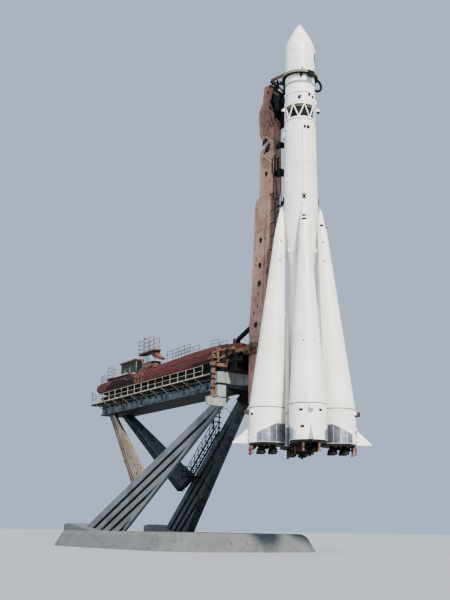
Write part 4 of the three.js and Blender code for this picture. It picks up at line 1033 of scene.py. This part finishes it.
def jacks():
    """Jacks, links and pipes beside the hinge carriage, and small black blocks of painted shade among them.
    """
    gear, shade_coat = Pile(), Pile()
    for plan, z0, z1, radius, sides in ((JACK, 16.0, 16.9, 0.14, 14), (JACK, 13.1, 13.25, 0.34, 20),
                                        (JACK, 15.9, 16.2, 0.3, 20), ((-9.6, 2.5), 16.9, 17.3, 0.1, 10),
                                        ((-8.9, 2.6), 16.2, 17.1, 0.12, 10)):
        gear.bar((*plan, z0), (*plan, z1), radius, sides)
    gear.boxes((-9.75, -8.7, 2.55, 3.1, 16.5, 16.62), (-9.6, -9.2, 2.3, 2.7, 16.2, 16.9),
               (-8.6, -8.1, 1.3, 1.62, 17.28, 17.6), (-6.95, -6.4, 1.1, 1.3, 16.9, 17.4))
    gear.lines([(-9.7, 3.0, 16.6), (-9.4, 2.7, 17.2), (-8.8, 2.0, 17.35), (-8.4, 1.6, 17.3)], 0.07)
    gear.lines([(-9.1, 3.0, 16.1), (-8.8, 2.2, 16.7), (-8.6, 1.6, 17.0)], 0.08)
    gear.lines([(-10.4, 1.6, 17.0), (-9.9, 2.4, 16.5), (-9.5, 2.9, 16.2)], 0.09)
    gear.ball((-9.3, 2.2, 17.35), (0.22, 0.22, 0.2))
    for x in (-10.4, -9.6, -7.9, -7.2):
        gear.box(x - 0.04, x + 0.04, 1.35, 1.83 - (x + 10.9) * 0.087, 16.92, 17.3)
    gear.bar((-5.8, 1.38, 17.1), (-5.8, 1.45, 17.1), 0.16, 12)
    gear.bar((-5.3, 1.05, 17.1), (-5.3, 1.3, 17.1), 0.12, 10)
    gear.mirror()
    for side in SIDES:
        gear.hose([(-10.2, side * 1.9, 17.2), (-9.7, side * 2.4, 17.6), (-9.1, side * 2.3, 17.4),
                   (-8.6, side * 1.7, 17.5)], 0.05)
    gear.piece("jack_gear", "brown_paint_rusted")
    # Small black blocks of painted shade in the gaps among the jack gear
    for k in range(30):
        x = -10.3 + 0.115 * k + 0.25 * sin(5.1 * k)
        y = 2.35 - 0.035 * k + 0.35 * sin(2.7 * k)
        z = 16.75 + 0.45 * sin(1.9 * k)
        w = 0.09 + 0.06 * sin(3.3 * k)
        shade_coat.post(x, y, w, w, z - w * 1.5, z + w * 1.5)
    shade_coat.mirror()
    shade_coat.piece("jack_gear_painted_shade", "black_paint_and_painted_shade")


def beam_fittings():
    """The portal's gusset, the boxes and pipe on the crosshead, and the girder's ribs."""
    gusset, specks, ribs = Pile(), Pile(), Pile()
    gusset.extrude([(-0.02, 13.18), (0.42, 13.68), (1.7, 13.68), (1.7, 12.7), (0.6, 12.7)], 0, -9.85, -9.45)
    gusset.piece("portal_gusset", "black_paint_and_painted_shade")
    for x, y, z in ((-9.2, 0.2, 15.5), (-9.15, 0.7, 15.45), (-9.2, 1.2, 15.5), (-9.2, -0.3, 15.48)):
        specks.post(x, y, 0.1, 0.13, z - 0.1, z + 0.12)
    specks.hose([(-9.1, -1.0, 15.45), (-8.95, -0.2, 15.6), (-9.0, 0.6, 15.45), (-8.95, 1.6, 15.55)], 0.035)
    specks.piece("crosshead_boxes", "cream_paint_flaking")
    for x in np.arange(-34.4, -10, 4.4):
        ribs.box(x - 0.03, x + 0.03, 1.5, 1.66, 14.2, 15.06)
    ribs.mirror()
    ribs.piece("girder_ribs", "slate_paint_mottled")


def stair(sizes):
    """Rails of the stair and its landing, and the cage of the ladder above."""
    rails = Pile()
    foot, head = np.array([-20.3, 1.4, 6.8]), np.array([-14.1, 0.55, 10.75])
    rise = np.array([0, 0, 0.95])
    for offset in ((0, -0.32, 0), (0, 0.32, 0)):
        for p in np.linspace(foot, head, 8) + offset:
            rails.bar(p, p + rise, 0.04, 6)
        for share, radius in ((1.0, 0.045), (0.5, 0.04)):
            rails.lines([foot + offset + rise * share, head + offset + rise * share], radius)
    landing = 6.88
    rail(rails, [(-21.15, 1.0, landing), (-21.15, 3.15, landing)], sizes)
    rail(rails, [(-21.15, 1.0, landing), (-20.35, 1.0, landing)], sizes)

    def cage(degrees, z):
        """Point on the ladder's oval cage."""
        a = radians(degrees)
        return (head[0] + 0.55 * cos(a), head[1] + 0.42 * sin(a), z)

    for z in np.arange(11.0, 14.0, 0.5):
        rails.lines([cage(t, z) for t in np.linspace(-180, 90, 12)], 0.04)
    for t in (-135, -90, -45, 0):
        rails.bar(cage(t, 11.0), cage(t, 13.5), 0.02, 6)
    rails.lines([(-13.8, 0.3, 12.6), (-12.4, 0.6, 12.7), (-12.0, 0.9, 12.1)], 0.03)
    rails.piece("stair_rails", "black_paint_and_painted_shade")


def strip(pile, start, along, across, out, ends, wide, deep):
    """A straight strip: its section spans `wide` across and `deep` outwards, carried between both `ends`."""
    corners = [(wide[0], deep[0]), (wide[1], deep[0]), (wide[1], deep[1]), (wide[0], deep[1])]
    pile.grid([[start + along * t + across * v + out * w for v, w in corners] for t in ends])


def legs():
    """Painted shade in the grooves of the slanted legs, and the edge plates of the right pair."""
    foot, head = np.array([-32.78, 5.1, 0.5]), np.array([-10.78, 1.09, 13.3])
    low, high = np.array([-24.9, 3.86, 0.5]), np.array([-9.2, 0.9, 13.3])
    along, run = unit(head - foot), unit(high - low)
    out = unit(np.cross(along, low - foot))
    across = np.cross(out, along) * np.sign(np.dot(np.cross(out, along), low - foot))
    inward = np.cross(run, out) * np.sign(np.dot(np.cross(run, out), foot - low))
    pitch, half, mound_top = 0.84, 0.155, 1.56
    (near, near_v), (far, far_v) = [(np.dot(p - foot, along), np.dot(p - foot, across)) for p in (low, high)]
    # Black strips of painted shade down the grooves of all four legs
    grooves = Pile()
    for k in (1, 2, 3, 4):
        stop = min(near + (k * pitch + 0.55 - near_v) / (far_v - near_v) * (far - near), 24.5)
        lowest = foot[2] + across[2] * (k * pitch + half) - abs(out[2]) * 0.125
        ends = (max(2.6, (mound_top - lowest) / along[2]), stop)
        wide = (k * pitch - half, k * pitch + half)
        for face in SIDES:
            strip(grooves, foot, along, across, out * face, ends, wide, (0.09, 0.125))
    left_foot, left_head, left_low = np.array([(-21.2, 3.06, 3.0), (-35.3, 0.63, 14.8), (-15.6, 3.5, 3.0)])
    left_along = unit(left_head - left_foot)
    left_out = unit(np.cross(left_along, left_low - left_foot))
    left_across = np.cross(left_out, left_along)
    for v in (0.23, 0.55):
        for face in SIDES:
            start = left_foot + left_across * v + left_out * face * 0.11
            ends = ((-0.15 - np.dot(start - foot, across)) / np.dot(left_along, across),
                    (13.95 - start[2]) / left_along[2])
            strip(grooves, left_foot, left_along, left_across, left_out * face, ends, (v - 0.088, v + 0.088),
                  (0.09, 0.31))
    grooves.mirror()
    grooves.piece("leg_groove_painted_shade", "black_paint_and_painted_shade")
    for mirror, name, finish in ((1, "leg_edge_far", "slate_painted_shade_rain_streaked"),
                                 (-1, "leg_edge_near", "grey_paint_chalked")):
        edge, flip = Pile(), np.array([1, mirror, 1])
        strip(edge, low * flip, run * flip, inward * flip, out * flip, (1.7, 20.2), (0.02, 0.3), (0.1, 0.326))
        edge.piece(name, finish)


def stand(sizes):
    """Beams, jacks, stair and legs of the stand, and the joints of its mound."""
    beam_seams()
    jacks()
    beam_fittings()
    stair(sizes)
    legs()
    joints = Pile()
    for x in np.arange(-31, -8, 4.6):
        joints.box(x - 0.03, x + 0.03, -7.3, 7.3, 1.49, 1.515)
    joints.piece("mound_joints", "concrete_poured_stained")
    # The far legs take the dark blue-grey as painted shade
    paint(girder="slate_paint_mottled", crosshead="light_grey_paint_aged", access_stair="black_paint_and_painted_shade",
          leg_right_near="grey_paint_chalked", leg_right_far="slate_painted_shade_rain_streaked",
          leg_left_near="grey_paint_rust_bled", leg_left_far="slate_painted_shade_rain_streaked",
          portal="black_paint_and_painted_shade", concrete_mound="concrete_poured_stained")


# The photograph's viewpoint: real metres back from the rocket's axis, aside of it and above the floor, the
# compass and upward angles in degrees, the roll in radians and the lens in millimetres
VIEW = {"back": 72.6, "aside": 6.37, "eye": 1.75, "azimuth": 58.0, "tilt": 14.34, "roll": 0.0147,
        "lens": 54.0}


def show(name, data):
    """Puts a new object into the scene."""
    obj = bpy.data.objects.new(name, data)
    bpy.context.scene.collection.objects.link(obj)
    return obj


def set_stage(sizes):
    """Floor, sky, two suns and the camera."""
    mesh = bpy.data.meshes.new("floor")
    w, sunk = 400.0, -0.002
    mesh.from_pydata([(-w, -w, sunk), (w, -w, sunk), (w, w, sunk), (-w, w, sunk)], [], [(0, 1, 2, 3)])
    pale = bpy.data.materials.new("floor_matte_pale")
    pale.use_nodes = True
    shader = pale.node_tree.nodes["Principled BSDF"]
    shader.inputs["Base Color"].default_value = linear("96989a")
    shader.inputs["Roughness"].default_value = 0.9
    mesh.materials.append(pale)
    floor = show("floor", mesh)

    world = bpy.data.worlds.new("sky")
    world.use_nodes = True
    sky = world.node_tree.nodes["Background"]
    sky.inputs["Color"].default_value = linear("b4c6e0")
    sky.inputs["Strength"].default_value = sizes.sky_strength
    bpy.context.scene.world = world

    for name, aim, strength, width, colour in (
            ("key", (-0.765, 0.19, -0.616), sizes.key_strength, 6.0, (1.0, 0.97, 0.92)),
            ("fill", (0.45, 0.85, -0.25), sizes.key_strength * 0.16, 40.0, (0.9, 0.95, 1.0))):
        light = bpy.data.lights.new(name, "SUN")
        light.energy = strength
        light.angle = radians(width)
        light.color = colour
        show(name, light).rotation_euler = Vector(aim).to_track_quat("-Z", "Y").to_euler()

    azimuth, tilt, roll = radians(VIEW["azimuth"]), radians(VIEW["tilt"]), VIEW["roll"]
    right = Vector((cos(azimuth), sin(azimuth), 0))
    level = Vector((-sin(azimuth), cos(azimuth), 0))
    forward = level * cos(tilt) + Vector((0, 0, sin(tilt)))
    above = right.cross(forward)
    axes = Matrix((right * cos(roll) + above * sin(roll),
                   above * cos(roll) - right * sin(roll), -forward)).transposed().to_4x4()
    place = -(right * VIEW["aside"] + level * VIEW["back"]) + Vector((AXIS_X, 0, VIEW["eye"]))
    camera = bpy.data.cameras.new("camera")
    camera.lens = VIEW["lens"]
    camera.sensor_width = 36.0
    camera.clip_end = 2000.0
    obj = show("camera", camera)
    obj.matrix_world = Matrix.Translation(place * HALF) @ axes
    bpy.context.scene.camera = obj


class RocketSizes(bpy.types.PropertyGroup):
    groove_depth: bpy.props.FloatProperty(name="Groove depth", default=0.02, unit="LENGTH",
                                          description="Depth of the skins' level joints, real metres")
    rail_height: bpy.props.FloatProperty(name="Rail height", default=0.95, unit="LENGTH",
                                         description="Height of railings above their deck, real metres")
    rail_radius: bpy.props.FloatProperty(name="Rail radius", default=0.03, unit="LENGTH",
                                         description="Radius of rails and posts, real metres")
    post_pitch: bpy.props.FloatProperty(name="Post pitch", default=1.3, unit="LENGTH",
                                        description="Distance between railing posts, real metres")
    sky_strength: bpy.props.FloatProperty(name="Sky strength", default=1.1,
                                          description="Strength of the world light")
    key_strength: bpy.props.FloatProperty(name="Key strength", default=9.0,
                                          description="Strength of the main light")


class RocketFinishes(bpy.types.PropertyGroup):
    white: bpy.props.StringProperty(name="Rocket white", default="f4f1e8",
                                    description="sRGB hex of the rocket's enamel")
    tan: bpy.props.StringProperty(name="Boom tan", default="977567",
                                  description="sRGB hex of the boom's paint")
    red: bpy.props.StringProperty(name="Hull red", default="4a1c19",
                                  description="sRGB hex of the hull's paint")


class ROCKET_OT_finishes(bpy.types.Operator):
    """Makes every finish"""
    bl_idname = "rocket.finishes"
    bl_label = "Make finishes"

    def execute(self, context):
        chosen = context.scene.rocket_finishes
        bases = {"white_enamel_sprayed": chosen.white, "white_enamel_plain": chosen.white,
                 "tan_oil_paint_faded": chosen.tan, "red_lead_paint_dull": chosen.red}
        for name, values in FINISHES.items():
            FINISH[name] = surface(name, **{**values, "base": bases.get(name, values["base"])})
        return {"FINISHED"}


class ROCKET_OT_stages(bpy.types.Operator):
    """Skins and fittings of nose, third stage and core"""
    bl_idname = "rocket.stages"
    bl_label = "Build stages"

    def execute(self, context):
        stages(context.scene.rocket_sizes)
        return {"FINISHED"}


class ROCKET_OT_boosters(bpy.types.Operator):
    """Skins, plates and seams of the four boosters"""
    bl_idname = "rocket.boosters"
    bl_label = "Build boosters"

    def execute(self, context):
        boosters(context.scene.rocket_sizes)
        return {"FINISHED"}


class ROCKET_OT_engines(bpy.types.Operator):
    """Bells, pipes and chambers of the engines"""
    bl_idname = "rocket.engines"
    bl_label = "Build engines"

    def execute(self, context):
        engines()
        return {"FINISHED"}


class ROCKET_OT_boom(bpy.types.Operator):
    """Edges, seams, hoses and gear of the boom and clamp"""
    bl_idname = "rocket.boom"
    bl_label = "Build boom"

    def execute(self, context):
        boom()
        return {"FINISHED"}


class ROCKET_OT_wagon(bpy.types.Operator):
    """Hull, cabin, decks and railings of the wagon"""
    bl_idname = "rocket.wagon"
    bl_label = "Build wagon"

    def execute(self, context):
        wagon(context.scene.rocket_sizes)
        return {"FINISHED"}


class ROCKET_OT_stand(bpy.types.Operator):
    """Girder, crosshead, jacks, stair, legs and mound"""
    bl_idname = "rocket.stand"
    bl_label = "Build stand"

    def execute(self, context):
        stand(context.scene.rocket_sizes)
        return {"FINISHED"}


class ROCKET_OT_set_stage(bpy.types.Operator):
    """Floor, lights and camera"""
    bl_idname = "rocket.set_stage"
    bl_label = "Set the stage"

    def execute(self, context):
        set_stage(context.scene.rocket_sizes)
        return {"FINISHED"}


class ROCKET_PT_panel(bpy.types.Panel):
    """Sizes, colours and one button for each part of the build"""
    bl_idname = "ROCKET_PT_panel"
    bl_label = "Space rocket"
    bl_space_type = "VIEW_3D"
    bl_region_type = "UI"
    bl_category = "Rocket"

    def draw(self, context):
        for group in (context.scene.rocket_sizes, context.scene.rocket_finishes):
            for key in group.__annotations__:
                self.layout.prop(group, key)
        for operator in OPERATORS:
            self.layout.operator(operator.bl_idname)


OPERATORS = (ROCKET_OT_finishes, ROCKET_OT_stages, ROCKET_OT_boosters, ROCKET_OT_engines, ROCKET_OT_boom,
             ROCKET_OT_wagon, ROCKET_OT_stand, ROCKET_OT_set_stage)
CLASSES = (RocketSizes, RocketFinishes) + OPERATORS + (ROCKET_PT_panel,)


def register():
    for item in CLASSES:
        bpy.utils.register_class(item)
    bpy.types.Scene.rocket_sizes = bpy.props.PointerProperty(type=RocketSizes)
    bpy.types.Scene.rocket_finishes = bpy.props.PointerProperty(type=RocketFinishes)


def unregister():
    del bpy.types.Scene.rocket_finishes
    del bpy.types.Scene.rocket_sizes
    for item in CLASSES[::-1]:
        bpy.utils.unregister_class(item)


def main():
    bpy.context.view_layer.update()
    register()
    bpy.ops.rocket.finishes()
    bpy.ops.rocket.stages()
    bpy.ops.rocket.boosters()
    bpy.ops.rocket.engines()
    bpy.ops.rocket.boom()
    bpy.ops.rocket.wagon()
    bpy.ops.rocket.stand()
    bpy.ops.rocket.set_stage()


if __name__ == "__main__":
    main()
